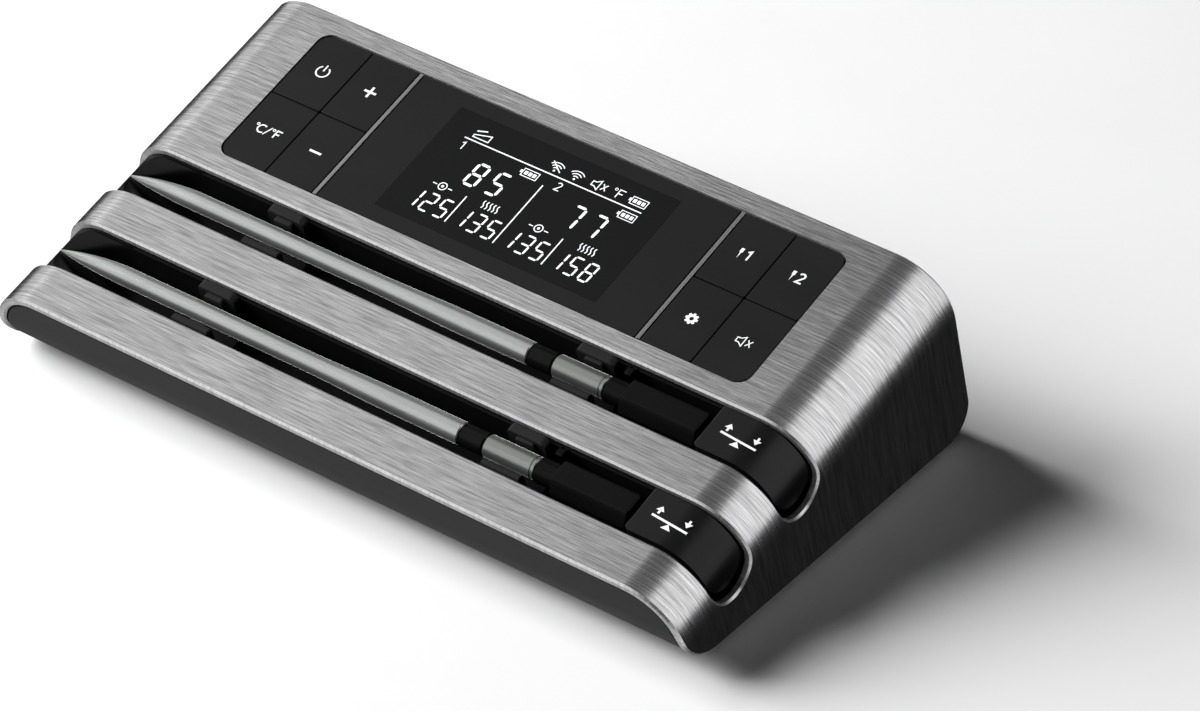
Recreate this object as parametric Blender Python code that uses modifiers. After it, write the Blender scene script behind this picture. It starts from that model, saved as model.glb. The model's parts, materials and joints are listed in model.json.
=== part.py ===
"""Meat thermometer host: a charging dock with two lift-out probes, as separate solids.

Metres, +Z up. The dock rests on its four feet at Z = 0, with the front towards -Y and its
long side along X. The top face (the deck) slopes down to the front, so most pieces hang on
an empty, deck, whose axes are X, V (up the slope) and N (out of the deck). The zero of V
is the front edge of the control panel, and the zero of N is the deck's outer face.
"""
import math

import bmesh
import bpy
from mathutils import Matrix, Vector

for old in list(bpy.data.objects):
    bpy.data.objects.remove(old, do_unlink=True)

# ---- driving dimensions ------------------------------------------------------------------
TILT = math.radians(16.3)
LENGTH = 0.186
SHEET = 0.002
END_RADIUS = 0.0136
FRONT_V = -0.0552
REAR_V = 0.0462
FRONT_RADIUS = 0.0137
REAR_RADIUS = 0.0072
FOOT_HEIGHT = 0.0012
DECK_Y = -0.0017
DECK_Z = 0.0361
GAP = 0.0003

PANEL_HALF = 0.07165
PANEL_DEPTH = 0.0408
PANEL_RADIUS = 0.0033
PANEL_THICKNESS = 0.0012
DIVIDER_X = 0.04385
DIVIDER_WIDTH = 0.0009
KEY_SPLIT_X = 0.05775
WINDOW_HALF = 0.0300
WINDOW_INSET = 0.0042
PLUNGER_RADIUS = 0.0022
PLUNGER_DEPTH = 0.0023

SLOTS = {"rear": -0.0119, "front": -0.03676}
SLOT_HALF = 0.0068
SLOT_DEPTH = 0.0154
TRAY_HALF = 0.0063
TRAY_WALL = 0.0013
FLANGE_HALF = 0.0107

PROBE_N = -0.0035
TIP_X = -0.0883
TIP_DROP = 0.0016
POINT_LENGTH = 0.0210
SWELL_X = (-0.0200, 0.0080)
NEEDLE_RADIUS = 0.0022
SHANK_RADIUS = 0.00265
NEEDLE_SIDES = 16
BAND_X = (0.0249, 0.0309)
COLLAR_END_X = 0.0446
HANDLE_X = (0.0500, 0.0696)
HANDLE_HALF_HEIGHT = 0.0036
HANDLE_HALF_WIDTH = 0.0047
HANDLE_FLAT_HALF = 0.0025

PRESS_X = (0.0706, 0.0911)
PRESS_HALF = 0.0059
PRESS_TOP = -0.0003
PRESS_BOTTOM = -0.0133
PIVOT_X = 0.0740
PIVOT_N = -0.0090
PIN_RADIUS = 0.0010
SPRING_X = 0.0840
SPRING_RADIUS = 0.0019
TONGUE_X = (0.0630, 0.0720)
TONGUE_N = (-0.0106, -0.0094)
TONGUE_HALF = 0.0030
CLIP_X = {"left": -0.0458, "right": 0.0385}
CLIP_LENGTH = 0.0100
CLIP_TOP = -0.0004
CLIP_FLOOR_N = -0.0120
CLIP_BOTTOM = -0.0140
CHEEK = 0.0021
CONTACT_X = (0.0461, 0.0478)
CONTACT_N = (-0.0096, -0.0012)
CONTACT_THICKNESS = 0.0008
PAD_HALF = 0.0027
PAD_N = (-0.0052, -0.0022)

HALF = LENGTH / 2
INNER_HALF = HALF - SHEET - GAP
INNER_TOP = -SHEET - GAP
INNER_RADIUS = END_RADIUS - SHEET - GAP
FAR = 0.08


# ---- scene helpers -----------------------------------------------------------------------
def new_collection(name):
    collection = bpy.data.collections.new(name)
    bpy.context.scene.collection.children.link(collection)
    return collection


PARTS = new_collection("thermometer_dock")
CUTTERS = new_collection("cutters")

DECK = bpy.data.objects.new("deck", None)
DECK.location = (0, DECK_Y, DECK_Z)
DECK.rotation_euler = (TILT, 0, 0)
PARTS.objects.link(DECK)


def material(name, color, roughness, metallic=0.0):
    """A Principled material with one colour, roughness and metallic value."""
    made = bpy.data.materials.new(name)
    made.use_nodes = True
    shader = made.node_tree.nodes["Principled BSDF"]
    shader.inputs["Base Color"].default_value = (*color, 1)
    shader.inputs["Roughness"].default_value = roughness
    shader.inputs["Metallic"].default_value = metallic
    return made


STEEL = material("brushed_steel", (0.62, 0.62, 0.63), 0.32, 1)
PROBE_STEEL = material("probe_steel", (0.55, 0.57, 0.56), 0.22, 1)
TRIM = material("silver_trim", (0.60, 0.61, 0.62), 0.3, 1)
DARK = material("dark_grey_plastic", (0.045, 0.045, 0.047), 0.5)
BLACK = material("black_plastic", (0.012, 0.012, 0.013), 0.45)
KEYCAP = material("key_black", (0.022, 0.022, 0.023), 0.42)
GLASS = material("display_black", (0.016, 0.016, 0.018), 0.18)
RUBBER = material("black_rubber", (0.02, 0.02, 0.021), 0.7)
SILICONE = material("keypad_silicone", (0.30, 0.31, 0.32), 0.6)
BOARD = material("board_green", (0.02, 0.16, 0.07), 0.5)
CELL = material("cell_wrap", (0.05, 0.14, 0.35), 0.4)
SPRING = material("spring_steel", (0.50, 0.50, 0.52), 0.3, 1)
CONTACT = material("contact_plate", (0.10, 0.095, 0.09), 0.35, 1)


def hide_cutter(cutter):
    cutter.hide_render = True
    cutter.display_type = "WIRE"


def place(name, mesh, look, parent=DECK):
    """Adds a mesh as a part, or as a cutter where look is None."""
    made = bpy.data.objects.new(name, mesh)
    made.parent = parent
    if look is None:
        CUTTERS.objects.link(made)
        hide_cutter(made)
    else:
        PARTS.objects.link(made)
        mesh.materials.append(look)
    return made


def tidy_mesh(mesh):
    """Welds a mesh made from a curve and turns its faces outwards."""
    shape = bmesh.new()
    shape.from_mesh(mesh)
    bmesh.ops.remove_doubles(shape, verts=shape.verts, dist=1e-6)
    bmesh.ops.recalc_face_normals(shape, faces=shape.faces)
    shape.to_mesh(mesh)
    shape.free()


def mesh_from_curve(curve):
    holder = bpy.data.objects.new("holder", curve)
    PARTS.objects.link(holder)
    bpy.context.view_layer.update()
    seen = holder.evaluated_get(bpy.context.evaluated_depsgraph_get())
    mesh = bpy.data.meshes.new_from_object(seen)
    bpy.data.objects.remove(holder, do_unlink=True)
    tidy_mesh(mesh)
    return mesh


def fillet(corners, steps=8):
    """Points of a closed outline from corners (a, b) or (a, b, radius), rounded by arcs."""
    points = []
    count = len(corners)
    for index, corner in enumerate(corners):
        here = Vector(corner[:2])
        radius = corner[2] if len(corner) > 2 else 0
        if radius == 0:
            points.append(tuple(here))
            continue
        before = (Vector(corners[index - 1][:2]) - here).normalized()
        after = (Vector(corners[(index + 1) % count][:2]) - here).normalized()
        half_angle = before.angle(after) / 2
        centre = here + (before + after).normalized() * radius / math.sin(half_angle)
        first = here + before * radius / math.tan(half_angle) - centre
        sweep = first.angle_signed(here + after * radius / math.tan(half_angle) - centre)
        for step in range(steps + 1):
            turn = Matrix.Rotation(-sweep * step / steps, 2)
            points.append(tuple(centre + turn @ first))
    return points


PLANES = {
    "XV": ((0, 0, 0), lambda middle: (0, 0, middle)),
    "XN": ((math.pi / 2, 0, 0), lambda middle: (0, middle, 0)),
    "VN": ((math.pi / 2, 0, math.pi / 2), lambda middle: (middle, 0, 0)),
}


def prism(name, plane, outline, low, high, look=None, holes=()):
    """A closed outline in a deck plane, extruded from low to high along the third axis."""
    curve = bpy.data.curves.new(name, "CURVE")
    curve.dimensions = "2D"
    curve.fill_mode = "BOTH"
    curve.extrude = (high - low) / 2
    for loop in (outline, *holes):
        spline = curve.splines.new("POLY")
        spline.points.add(len(loop) - 1)
        for point, (a, b) in zip(spline.points, loop):
            point.co = (a, b, 0, 1)
        spline.use_cyclic_u = True
    rotation, location = PLANES[plane]
    made = place(name, mesh_from_curve(curve), look)
    made.rotation_euler = rotation
    made.location = location((low + high) / 2)
    return made


def rectangle(a_low, a_high, b_low, b_high, radius=0, steps=4):
    corners = [(a_low, b_low), (a_high, b_low), (a_high, b_high), (a_low, b_high)]
    return fillet([(a, b, radius) for a, b in corners], steps)


def circle(a, b, radius, steps=20):
    turns = [2 * math.pi * step / steps for step in range(steps)]
    return [(a + radius * math.cos(turn), b + radius * math.sin(turn)) for turn in turns]


def turned(name, profile, look, steps=24):
    """A profile of (radius, height) points, top to bottom, turned about the local Z axis."""
    mesh = bpy.data.meshes.new(name)
    points = [(radius, 0, height) for radius, height in profile]
    mesh.from_pydata(points, [(i, i + 1) for i in range(len(points) - 1)], [])
    made = place(name, mesh, look)
    screw = made.modifiers.new("turn", "SCREW")
    screw.steps = steps
    screw.render_steps = steps
    screw.use_merge_vertices = True
    screw.merge_threshold = 0.00001
    return made


def boolean(target, other, operation="DIFFERENCE"):
    modifier = target.modifiers.new(operation.lower(), "BOOLEAN")
    modifier.operation = operation
    modifier.solver = "EXACT"
    modifier.object = other


def join_shape(target, other):
    """Unites a helper solid, kept with the cutters, with a part."""
    boolean(target, other, "UNION")


def bevel(target, width, segments=2):
    modifier = target.modifiers.new("rounded", "BEVEL")
    modifier.width = width
    modifier.segments = segments
    modifier.limit_method = "ANGLE"
    modifier.angle_limit = math.radians(40)


def set_origin(target, point):
    """Moves an object's origin to a point of the deck frame, leaving the shape in place."""
    local = target.matrix_basis.inverted() @ Vector(point)
    target.data.transform(Matrix.Translation(-local))
    target.matrix_basis = target.matrix_basis @ Matrix.Translation(local)


def bottom_n(v, inset=0.0):
    """N of the level underside at V, raised by inset."""
    height = FOOT_HEIGHT + inset - DECK_Z
    return (height - v * math.sin(TILT)) / math.cos(TILT)


# ---- outlines shared by several pieces ---------------------------------------------------
def body_side(inset=0.0):
    """Side outline of the whole dock in V and N."""
    front = FRONT_V + inset
    rear = REAR_V - inset
    return fillet([
        (front, 0),
        (rear, 0),
        (rear, bottom_n(rear, inset), REAR_RADIUS),
        (front, bottom_n(front, inset), FRONT_RADIUS),
    ], 10)


def cavity_outline():
    """Room inside the shell, less a small gap, in X and N."""
    return fillet([
        (-INNER_HALF, -FAR),
        (-INNER_HALF, INNER_TOP, INNER_RADIUS),
        (INNER_HALF, INNER_TOP, INNER_RADIUS),
        (INNER_HALF, -FAR),
    ])


CAVITY = prism("cavity_guide", "XN", cavity_outline(), -FAR, FAR)


def slot_outline(centre, half, depth, top):
    """A round-bottomed slot, or anything of that section, in V and N."""
    rounding = half * 0.999
    return fillet([
        (centre + half, top),
        (centre + half, -depth, rounding),
        (centre - half, -depth, rounding),
        (centre - half, top),
    ])


# ---- casing ------------------------------------------------------------------------------
def steel_shell():
    section = fillet([
        (-HALF, -FAR),
        (-HALF, 0, END_RADIUS),
        (HALF, 0, END_RADIUS),
        (HALF, -FAR),
        (HALF - SHEET, -FAR),
        (HALF - SHEET, -SHEET, END_RADIUS - SHEET),
        (SHEET - HALF, -SHEET, END_RADIUS - SHEET),
        (SHEET - HALF, -FAR),
    ], 12)
    shell = prism("steel_shell", "XN", section, -FAR, FAR, STEEL)
    side = prism("side_guide", "VN", body_side(), -HALF - SHEET, HALF + SHEET)
    boolean(shell, side, "INTERSECT")
    for name, centre in SLOTS.items():
        outline = slot_outline(centre, SLOT_HALF, SLOT_DEPTH, SLOT_DEPTH)
        boolean(shell, prism(f"slot_{name}", "VN", outline, -HALF - SHEET, HALF + SHEET))
    opening = rectangle(-PANEL_HALF, PANEL_HALF, 0, PANEL_DEPTH, PANEL_RADIUS, 6)
    boolean(shell, prism("panel_opening", "XV", opening, -2 * SHEET, 2 * SHEET))


def cover(name, look, end_v, wall_v, radius):
    """An upright wall that turns under the dock: the front cover or the rear cover."""
    inward = SHEET if wall_v < 0 else -SHEET
    outline = fillet([
        (wall_v, INNER_TOP),
        (wall_v, bottom_n(wall_v), radius),
        (end_v, bottom_n(end_v)),
        (end_v, bottom_n(end_v, SHEET)),
        (wall_v + inward, bottom_n(wall_v + inward, SHEET), radius - SHEET),
        (wall_v + inward, INNER_TOP),
    ], 10)
    made = prism(name, "VN", outline, -HALF, HALF, look)
    boolean(made, CAVITY, "INTERSECT")
    return made


FRONT_LIP_V = -0.0396
REAR_LIP_V = 0.0340
SOCKET_N = -0.0106


def covers():
    cover("front_cover", DARK, FRONT_LIP_V, FRONT_V + GAP, FRONT_RADIUS)
    rear = cover("rear_cover", DARK, REAR_LIP_V, REAR_V - GAP, REAR_RADIUS)
    opening = rectangle(-0.0049, 0.0049, SOCKET_N - 0.0019, SOCKET_N + 0.0019, 0.0018)
    boolean(rear, prism("socket_opening", "XN", opening, REAR_V - 0.008, REAR_V + 0.004))


FOOT_X = 0.081
FOOT_Y = (-0.026, 0.036)
FOOT_RADIUS = 0.006
FOOT_RECESS = 0.0010
SCREW_X = (0.060, 0.0765)
SCREW_Y = (-0.026, 0.014)
SCREW_SHANK = 0.0014
SCREW_HEAD = 0.0028
CORNERS = [(side, row) for row in (0, 1) for side in (-1, 1)]


def upright(name, radius, low, high, x, y, look=None, steps=20):
    """A level-footed cylinder between two heights above the ground."""
    mesh = bpy.data.meshes.new(name)
    shape = bmesh.new()
    bmesh.ops.create_cone(shape, cap_ends=True, segments=steps, radius1=radius,
                          radius2=radius, depth=high - low)
    shape.to_mesh(mesh)
    shape.free()
    made = place(name, mesh, look, None)
    made.location = (x, y, (low + high) / 2)
    return made


def base_cover():
    """The level bottom plate, with recesses for the feet and holes for the screws."""
    low_v = FRONT_LIP_V + GAP
    high_v = REAR_LIP_V - GAP
    outline = [
        (low_v, bottom_n(low_v)),
        (high_v, bottom_n(high_v)),
        (high_v, bottom_n(high_v, SHEET)),
        (low_v, bottom_n(low_v, SHEET)),
    ]
    plate = prism("base_cover", "VN", outline, -INNER_HALF, INNER_HALF, DARK)
    for index, (side, row) in enumerate(CORNERS):
        x, y = side * FOOT_X, FOOT_Y[row]
        top = FOOT_HEIGHT + FOOT_RECESS
        boolean(plate, upright(f"recess_{index}", FOOT_RADIUS + GAP, 0, top, x, y))
        x, y = side * SCREW_X[row], SCREW_Y[row]
        boolean(plate, upright(f"screw_hole_{index}", SCREW_SHANK + 0.0004, 0, 0.006, x, y,
                               steps=12))
        boolean(plate, upright(f"screw_sink_{index}", SCREW_HEAD + 0.0004, 0, 0.00275, x, y,
                               steps=12))


def feet_and_base_screws():
    for index, (side, row) in enumerate(CORNERS, 1):
        x, y = side * FOOT_X, FOOT_Y[row]
        foot = upright(f"foot_{index}", FOOT_RADIUS, 0, FOOT_HEIGHT + FOOT_RECESS - GAP,
                       x, y, RUBBER)
        bevel(foot, 0.0004, 1)
        x, y = side * SCREW_X[row], SCREW_Y[row]
        base_screw(f"base_screw_{index}", x, y)


def base_screw(name, x, y):
    """A countersunk-depth pan screw that stands up through the bottom plate."""
    screw = turned(name, [(0, 0.0088), (0.0010, 0.0088), (SCREW_SHANK, 0.0080),
                          (SCREW_SHANK, 0.0036), (SCREW_SHANK, 0.00245), (SCREW_HEAD, 0.00245),
                          (SCREW_HEAD, 0.0015), (0, 0.0015)], STEEL, 12)
    screw.parent = None
    screw.location = (x, y, 0)
    drive = upright(f"{name}_drive", 0.0011, 0, 0.0021, x, y, steps=6)
    boolean(screw, drive)


# ---- chassis and trays -------------------------------------------------------------------
FRAME_HALF = 0.0810
FRAME_V = (-0.0006, 0.0434)
FRAME_N = (-0.0050, -0.0024)
KEYPAD_X = (0.0448, 0.0712)
KEYPAD_V = (0.0008, 0.0400)
POST_RADIUS = 0.0036
POST_BORE = 0.0017
BOARD_SCREWS = [(side * 0.0380, v) for v in (0.0045, 0.0360) for side in (-1, 1)]


def post(name, x, y, top):
    """A screw post for a base screw, standing just above the bottom plate."""
    base = FOOT_HEIGHT + SHEET + GAP
    return upright(name, POST_RADIUS, base, top, x, y)


def inner_frame():
    """The chassis under the panel, with windows for the keypads and the display."""
    outer = rectangle(-FRAME_HALF, FRAME_HALF, *FRAME_V, 0.002)
    windows = [
        rectangle(-KEYPAD_X[1], -KEYPAD_X[0], *KEYPAD_V, 0.001),
        window_frame(0.0022, 0.001),
        rectangle(*KEYPAD_X, *KEYPAD_V, 0.001),
    ]
    frame = prism("inner_frame", "XV", outer, *FRAME_N, BLACK)
    for index, side in enumerate((-1, 1)):
        x, y = side * SCREW_X[1], SCREW_Y[1]
        join_shape(frame, post(f"frame_post_{index}", x, y, 0.0366))
        boolean(frame, upright(f"frame_bore_{index}", POST_BORE, 0, 0.0100, x, y, steps=12))
    for index, window in enumerate(windows):
        boolean(frame, prism(f"frame_window_{index}", "XV", window, 2 * FRAME_N[0], 0))
    for index, (x, v) in enumerate(BOARD_SCREWS):
        hole = circle(x, v, 0.0013, 12)
        boolean(frame, prism(f"frame_hole_{index}", "XV", hole, 2 * FRAME_N[0], 0))


def cradle_outline():
    """The curved ramp that closes a tray at its left end, in X and N."""
    floor = -SLOT_DEPTH - TRAY_WALL / 2
    ramp = []
    for step in range(9):
        share = step / 8
        ramp.append((-0.0765 - 0.0152 * share, floor + 0.0112 * share ** 1.7))
    return ramp + [(-0.0917, floor)]


def tray(name, centre):
    """A black trough along one slot, flanged under the deck."""
    inner = slot_outline(centre, TRAY_HALF, SLOT_DEPTH, -0.001)
    outer = [
        (centre + FLANGE_HALF, INNER_TOP),
        (centre + FLANGE_HALF, INNER_TOP - TRAY_WALL),
        (centre + TRAY_HALF + TRAY_WALL, INNER_TOP - TRAY_WALL),
        (centre + TRAY_HALF + TRAY_WALL, -SLOT_DEPTH - TRAY_WALL, 0.0045),
        (centre - TRAY_HALF - TRAY_WALL, -SLOT_DEPTH - TRAY_WALL, 0.0045),
        (centre - TRAY_HALF - TRAY_WALL, INNER_TOP - TRAY_WALL),
        (centre - FLANGE_HALF, INNER_TOP - TRAY_WALL),
        (centre - FLANGE_HALF, INNER_TOP),
    ]
    made = prism(f"tray_{name}", "VN", fillet(outer), -HALF, HALF, BLACK)
    if name == "front":
        for index, side in enumerate((-1, 1)):
            x, y = side * SCREW_X[0], SCREW_Y[0]
            join_shape(made, post(f"tray_post_{index}", x, y, 0.0115))
            bore = upright(f"tray_bore_{index}", POST_BORE, 0, 0.0100, x, y, steps=12)
            boolean(made, bore)
    boolean(made, prism(f"trough_{name}", "VN", inner, -HALF - SHEET, HALF + SHEET))
    cradle = prism(f"cradle_{name}", "XN", cradle_outline(), centre - TRAY_HALF - TRAY_WALL / 2,
                   centre + TRAY_HALF + TRAY_WALL / 2)
    join_shape(made, cradle)
    boolean(made, CAVITY, "INTERSECT")
    hole = circle(PIVOT_X, PIVOT_N, PIN_RADIUS + GAP, 16)
    reach = TRAY_HALF + 4 * TRAY_WALL
    boolean(made, prism(f"pin_hole_{name}", "XN", hole, centre - reach, centre + reach))
    return made


def clip(name, x, centre, room):
    """A rubber fork that holds a probe between two cheeks."""
    half = TRAY_HALF - GAP
    outer = fillet([
        (centre + half, CLIP_TOP),
        (centre + half, CLIP_BOTTOM, 0.0058),
        (centre - half, CLIP_BOTTOM, 0.0058),
        (centre - half, CLIP_TOP),
    ], 6)
    made = prism(name, "VN", outer, x - CLIP_LENGTH / 2, x + CLIP_LENGTH / 2, RUBBER)
    cheek = half - CHEEK
    mouth = fillet([
        (centre + cheek, SHEET),
        (centre + cheek, CLIP_FLOOR_N, 0.0035),
        (centre - cheek, CLIP_FLOOR_N, 0.0035),
        (centre - cheek, SHEET),
    ], 6)
    boolean(made, prism(f"{name}_mouth", "VN", mouth, x - CLIP_LENGTH, x + CLIP_LENGTH))
    for side in (-1, 1):
        low, high = sorted((centre + side * room, centre + side * (cheek + 0.0006)))
        pad = prism(f"{name}_pad_{side}", "VN", rectangle(low, high, *PAD_N, 0.0003, 2),
                    x - PAD_HALF, x + PAD_HALF)
        join_shape(made, pad)


def contact(name, centre):
    """A plated spring finger that charges the probe at its neck."""
    back = centre + TRAY_HALF - 0.0004
    inner = back - CONTACT_THICKNESS
    fold = back - 0.0025
    outline = fillet([
        (back, CONTACT_N[0]),
        (back, CONTACT_N[1], 0.0007),
        (fold, CONTACT_N[1], 0.0007),
        (fold + 0.0006, CONTACT_N[1] - 0.0028, 0.0004),
        (inner, CONTACT_N[1] - 0.0018, 0.0003),
        (inner, CONTACT_N[0] + 0.0016),
        (inner - 0.0007, CONTACT_N[0]),
    ], 4)
    prism(f"charge_contact_{name}", "VN", outline, *CONTACT_X, CONTACT)


# ---- control panel -----------------------------------------------------------------------
KEYS = {
    "power": (-1, 1, 1), "plus": (-1, 0, 1), "units": (-1, 1, 0), "minus": (-1, 0, 0),
    "probe_one": (1, 0, 1), "probe_two": (1, 1, 1), "settings": (1, 0, 0), "mute": (1, 1, 0),
}
PANEL_TOP = -0.00015


def key_cap(name, side, outer, upper):
    """A key cap with a plunger; the caps at the panel's corners share its corner radius."""
    inner_edge = DIVIDER_X + DIVIDER_WIDTH / 2 + GAP / 2
    x_low, x_high = (KEY_SPLIT_X, PANEL_HALF) if outer else (inner_edge, KEY_SPLIT_X)
    v_low, v_high = (PANEL_DEPTH / 2, PANEL_DEPTH) if upper else (0, PANEL_DEPTH / 2)
    half_gap = GAP / 2
    rims = {"x_low": half_gap, "x_high": GAP if outer else half_gap,
            "v_low": half_gap if upper else GAP, "v_high": GAP if upper else half_gap}
    x_low, x_high = x_low + rims["x_low"], x_high - rims["x_high"]
    v_low, v_high = v_low + rims["v_low"], v_high - rims["v_high"]
    corner_v = v_high if upper else v_low
    corners = [(x_low, v_low), (x_high, v_low), (x_high, v_high), (x_low, v_high)]
    outline = []
    for x, v in corners:
        at_panel_corner = outer and x == x_high and v == corner_v
        outline.append((side * x, v, PANEL_RADIUS if at_panel_corner else 0.0003))
    middle = (side * (x_low + x_high) / 2, (v_low + v_high) / 2)
    cap = prism(f"key_{name}", "XV", fillet(outline, 4), PANEL_TOP - PANEL_THICKNESS,
                PANEL_TOP, KEYCAP)
    join_shape(cap, prism(f"plunger_{name}", "XV", circle(*middle, PLUNGER_RADIUS, 14),
                          PANEL_TOP - PLUNGER_DEPTH, PANEL_TOP - PANEL_THICKNESS / 2))
    set_origin(cap, (*middle, PANEL_TOP))


def keypad_mat(name, side):
    """A silicone sheet on the board, with a dome under each key."""
    edges = sorted((side * (KEYPAD_X[0] + GAP), side * (KEYPAD_X[1] - GAP)))
    outline = rectangle(*edges, KEYPAD_V[0] + GAP, KEYPAD_V[1] - GAP, 0.0008)
    mat = prism(f"keypad_mat_{name}", "XV", outline, -0.0051, -0.0042, SILICONE)
    inner_x = (DIVIDER_X + DIVIDER_WIDTH / 2 + KEY_SPLIT_X) / 2
    outer_x = (KEY_SPLIT_X + PANEL_HALF) / 2
    for index, x in enumerate((inner_x, outer_x)):
        for row, v in enumerate((PANEL_DEPTH / 4, PANEL_DEPTH * 3 / 4)):
            dome = turned(f"dome_{name}_{index}{row}",
                          [(0, 0.0012), (0.0020, 0.0012), (0.0026, 0.0008), (0.0032, -0.0004),
                           (0, -0.0004)], None, 14)
            dome.location = (side * x, v, -0.0042)
            join_shape(mat, dome)


def window_frame(margin, radius):
    """The display window's outline, widened by a margin on all sides."""
    half = WINDOW_HALF + margin
    inset = WINDOW_INSET - margin
    return rectangle(-half, half, inset, PANEL_DEPTH - inset, radius)


def panel():
    half = DIVIDER_X - DIVIDER_WIDTH / 2 - GAP
    low, high = GAP, PANEL_DEPTH - GAP
    prism("display_lens", "XV", rectangle(-half, half, low, high, GAP),
          PANEL_TOP - PANEL_THICKNESS, PANEL_TOP, GLASS)
    for name, side in (("left", -1), ("right", 1)):
        middle = side * DIVIDER_X
        edges = (middle - DIVIDER_WIDTH / 2, middle + DIVIDER_WIDTH / 2)
        prism(f"divider_{name}", "XV", rectangle(*edges, low, high), -PANEL_THICKNESS,
              -0.00005, TRIM)
        keypad_mat(name, side)
    for name, where in KEYS.items():
        key_cap(name, *where)
    seat = PANEL_TOP - PANEL_THICKNESS - GAP / 2
    prism("display_gasket", "XV", rectangle(-0.0415, 0.0415, *KEYPAD_V, 0.001),
          FRAME_N[1] + GAP / 2, seat, RUBBER, [window_frame(0.0019, 0.001)])
    display = prism("lcd_module", "XV", window_frame(0.0014, 0.0005), -0.0049, seat - GAP / 2,
                    GLASS)
    bevel(display, 0.0002, 1)


# ---- electronics -------------------------------------------------------------------------
BOARD_N = (-0.0070, -0.0054)
CELL_X = (-0.0620, -0.0060)
CELL_V = (0.0080, 0.0330)
CELL_N = (-0.0165, -0.0105)
BUZZER = (0.0300, 0.0200)
BUZZER_N = -0.0115


def electronics():
    holes = [circle(x, v, 0.0014, 12) for x, v in BOARD_SCREWS]
    prism("main_board", "XV", rectangle(-0.0715, 0.0715, 0.0006, 0.0420, 0.001), *BOARD_N,
          BOARD, holes)
    for index, (x, v) in enumerate(BOARD_SCREWS, 1):
        screw = turned(f"board_screw_{index}",
                       [(0, 0.0020), (0.0006, 0.0020), (0.0010, 0.0014), (0.0010, -0.0019),
                        (0.0021, -0.0019), (0.0021, -0.0030), (0, -0.0030)], STEEL, 12)
        screw.location = (x, v, BOARD_N[1])
    cell = prism("battery_cell", "XV", rectangle(*CELL_X, *CELL_V, 0.002), *CELL_N, CELL)
    bevel(cell, 0.0012, 2)
    bell = prism("buzzer", "XV", circle(*BUZZER, 0.0060, 24), BUZZER_N, BOARD_N[0] - GAP,
                 BLACK)
    boolean(bell, prism("buzzer_port", "XV", circle(*BUZZER, 0.0012, 12), BUZZER_N - SHEET,
                        BUZZER_N + 0.0015))
    usb_socket()


def usb_socket():
    """The charging socket: a rounded steel sleeve with a tongue, open at the rear."""
    sleeve = prism("usb_socket", "XN",
                   rectangle(-0.0045, 0.0045, SOCKET_N - 0.0016, SOCKET_N + 0.0016, 0.0015),
                   REAR_V - 0.0090, REAR_V - GAP, STEEL)
    mouth = rectangle(-0.0042, 0.0042, SOCKET_N - 0.0013, SOCKET_N + 0.0013, 0.0012)
    boolean(sleeve, prism("socket_mouth", "XN", mouth, REAR_V - 0.0080, REAR_V + SHEET))
    tongue = rectangle(-0.0033, 0.0033, SOCKET_N - 0.00035, SOCKET_N + 0.00035)
    join_shape(sleeve, prism("socket_tongue", "XN", tongue, REAR_V - 0.0085, REAR_V - 0.0020))
    join_shape(sleeve, prism("socket_base", "XN",
                             rectangle(-0.0040, 0.0040, SOCKET_N + 0.0010, BOARD_N[0] - GAP),
                             REAR_V - 0.0090, REAR_V - 0.0050))


# ---- press keys --------------------------------------------------------------------------
def press_key(name, centre):
    """The rocking end piece: pressed at its right end, its tongue rises under the handle."""
    section = slot_outline(centre, PRESS_HALF, -PRESS_BOTTOM, PRESS_TOP)
    key = prism(f"press_key_{name}", "VN", section, PRESS_X[0], PRESS_X[1], KEYCAP)
    side = fillet([
        (PRESS_X[0], PRESS_TOP - 0.020),
        (PRESS_X[0], PRESS_TOP, 0.0008),
        (PRESS_X[1], PRESS_TOP, INNER_RADIUS + GAP),
        (PRESS_X[1], PRESS_TOP - 0.020),
    ])
    guide = prism(f"press_side_{name}", "XN", side, centre - 2 * PRESS_HALF,
                  centre + 2 * PRESS_HALF)
    boolean(key, guide, "INTERSECT")
    tongue = prism(f"press_tongue_{name}", "XN",
                   fillet([(TONGUE_X[0], TONGUE_N[0]), (TONGUE_X[0], TONGUE_N[1], 0.0004),
                           (TONGUE_X[1], TONGUE_N[1]), (TONGUE_X[1], TONGUE_N[0])], 3),
                   centre - TONGUE_HALF, centre + TONGUE_HALF)
    join_shape(key, tongue)
    pocket = prism(f"press_pocket_{name}", "XV", circle(SPRING_X, centre, 0.0028, 18),
                   -0.0200, -0.0080)
    boolean(key, pocket)
    bore = prism(f"press_bore_{name}", "XN", circle(PIVOT_X, PIVOT_N, PIN_RADIUS + GAP, 16),
                 centre - 2 * PRESS_HALF, centre + 2 * PRESS_HALF)
    boolean(key, bore)
    set_origin(key, (PIVOT_X, centre, PIVOT_N))
    reach = TRAY_HALF + TRAY_WALL - GAP
    prism(f"press_pin_{name}", "XN", circle(PIVOT_X, PIVOT_N, PIN_RADIUS, 16),
          centre - reach, centre + reach, STEEL)
    press_spring(name, centre)


def press_spring(name, centre):
    """A coil between the tray's floor and the key's pocket."""
    turns, low, high = 3, -0.0150, -0.0090
    steps = 10 * turns
    curve = bpy.data.curves.new(f"press_spring_{name}", "CURVE")
    curve.dimensions = "3D"
    curve.bevel_depth = 0.00025
    curve.bevel_resolution = 1
    curve.use_fill_caps = True
    spline = curve.splines.new("POLY")
    spline.points.add(steps)
    for step, point in enumerate(spline.points):
        angle = 2 * math.pi * step / 10
        height = low + (high - low) * step / steps
        point.co = (SPRING_RADIUS * math.cos(angle), SPRING_RADIUS * math.sin(angle), height, 1)
    spring = place(f"press_spring_{name}", mesh_from_curve(curve), SPRING)
    spring.location = (SPRING_X, centre, 0)


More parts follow.
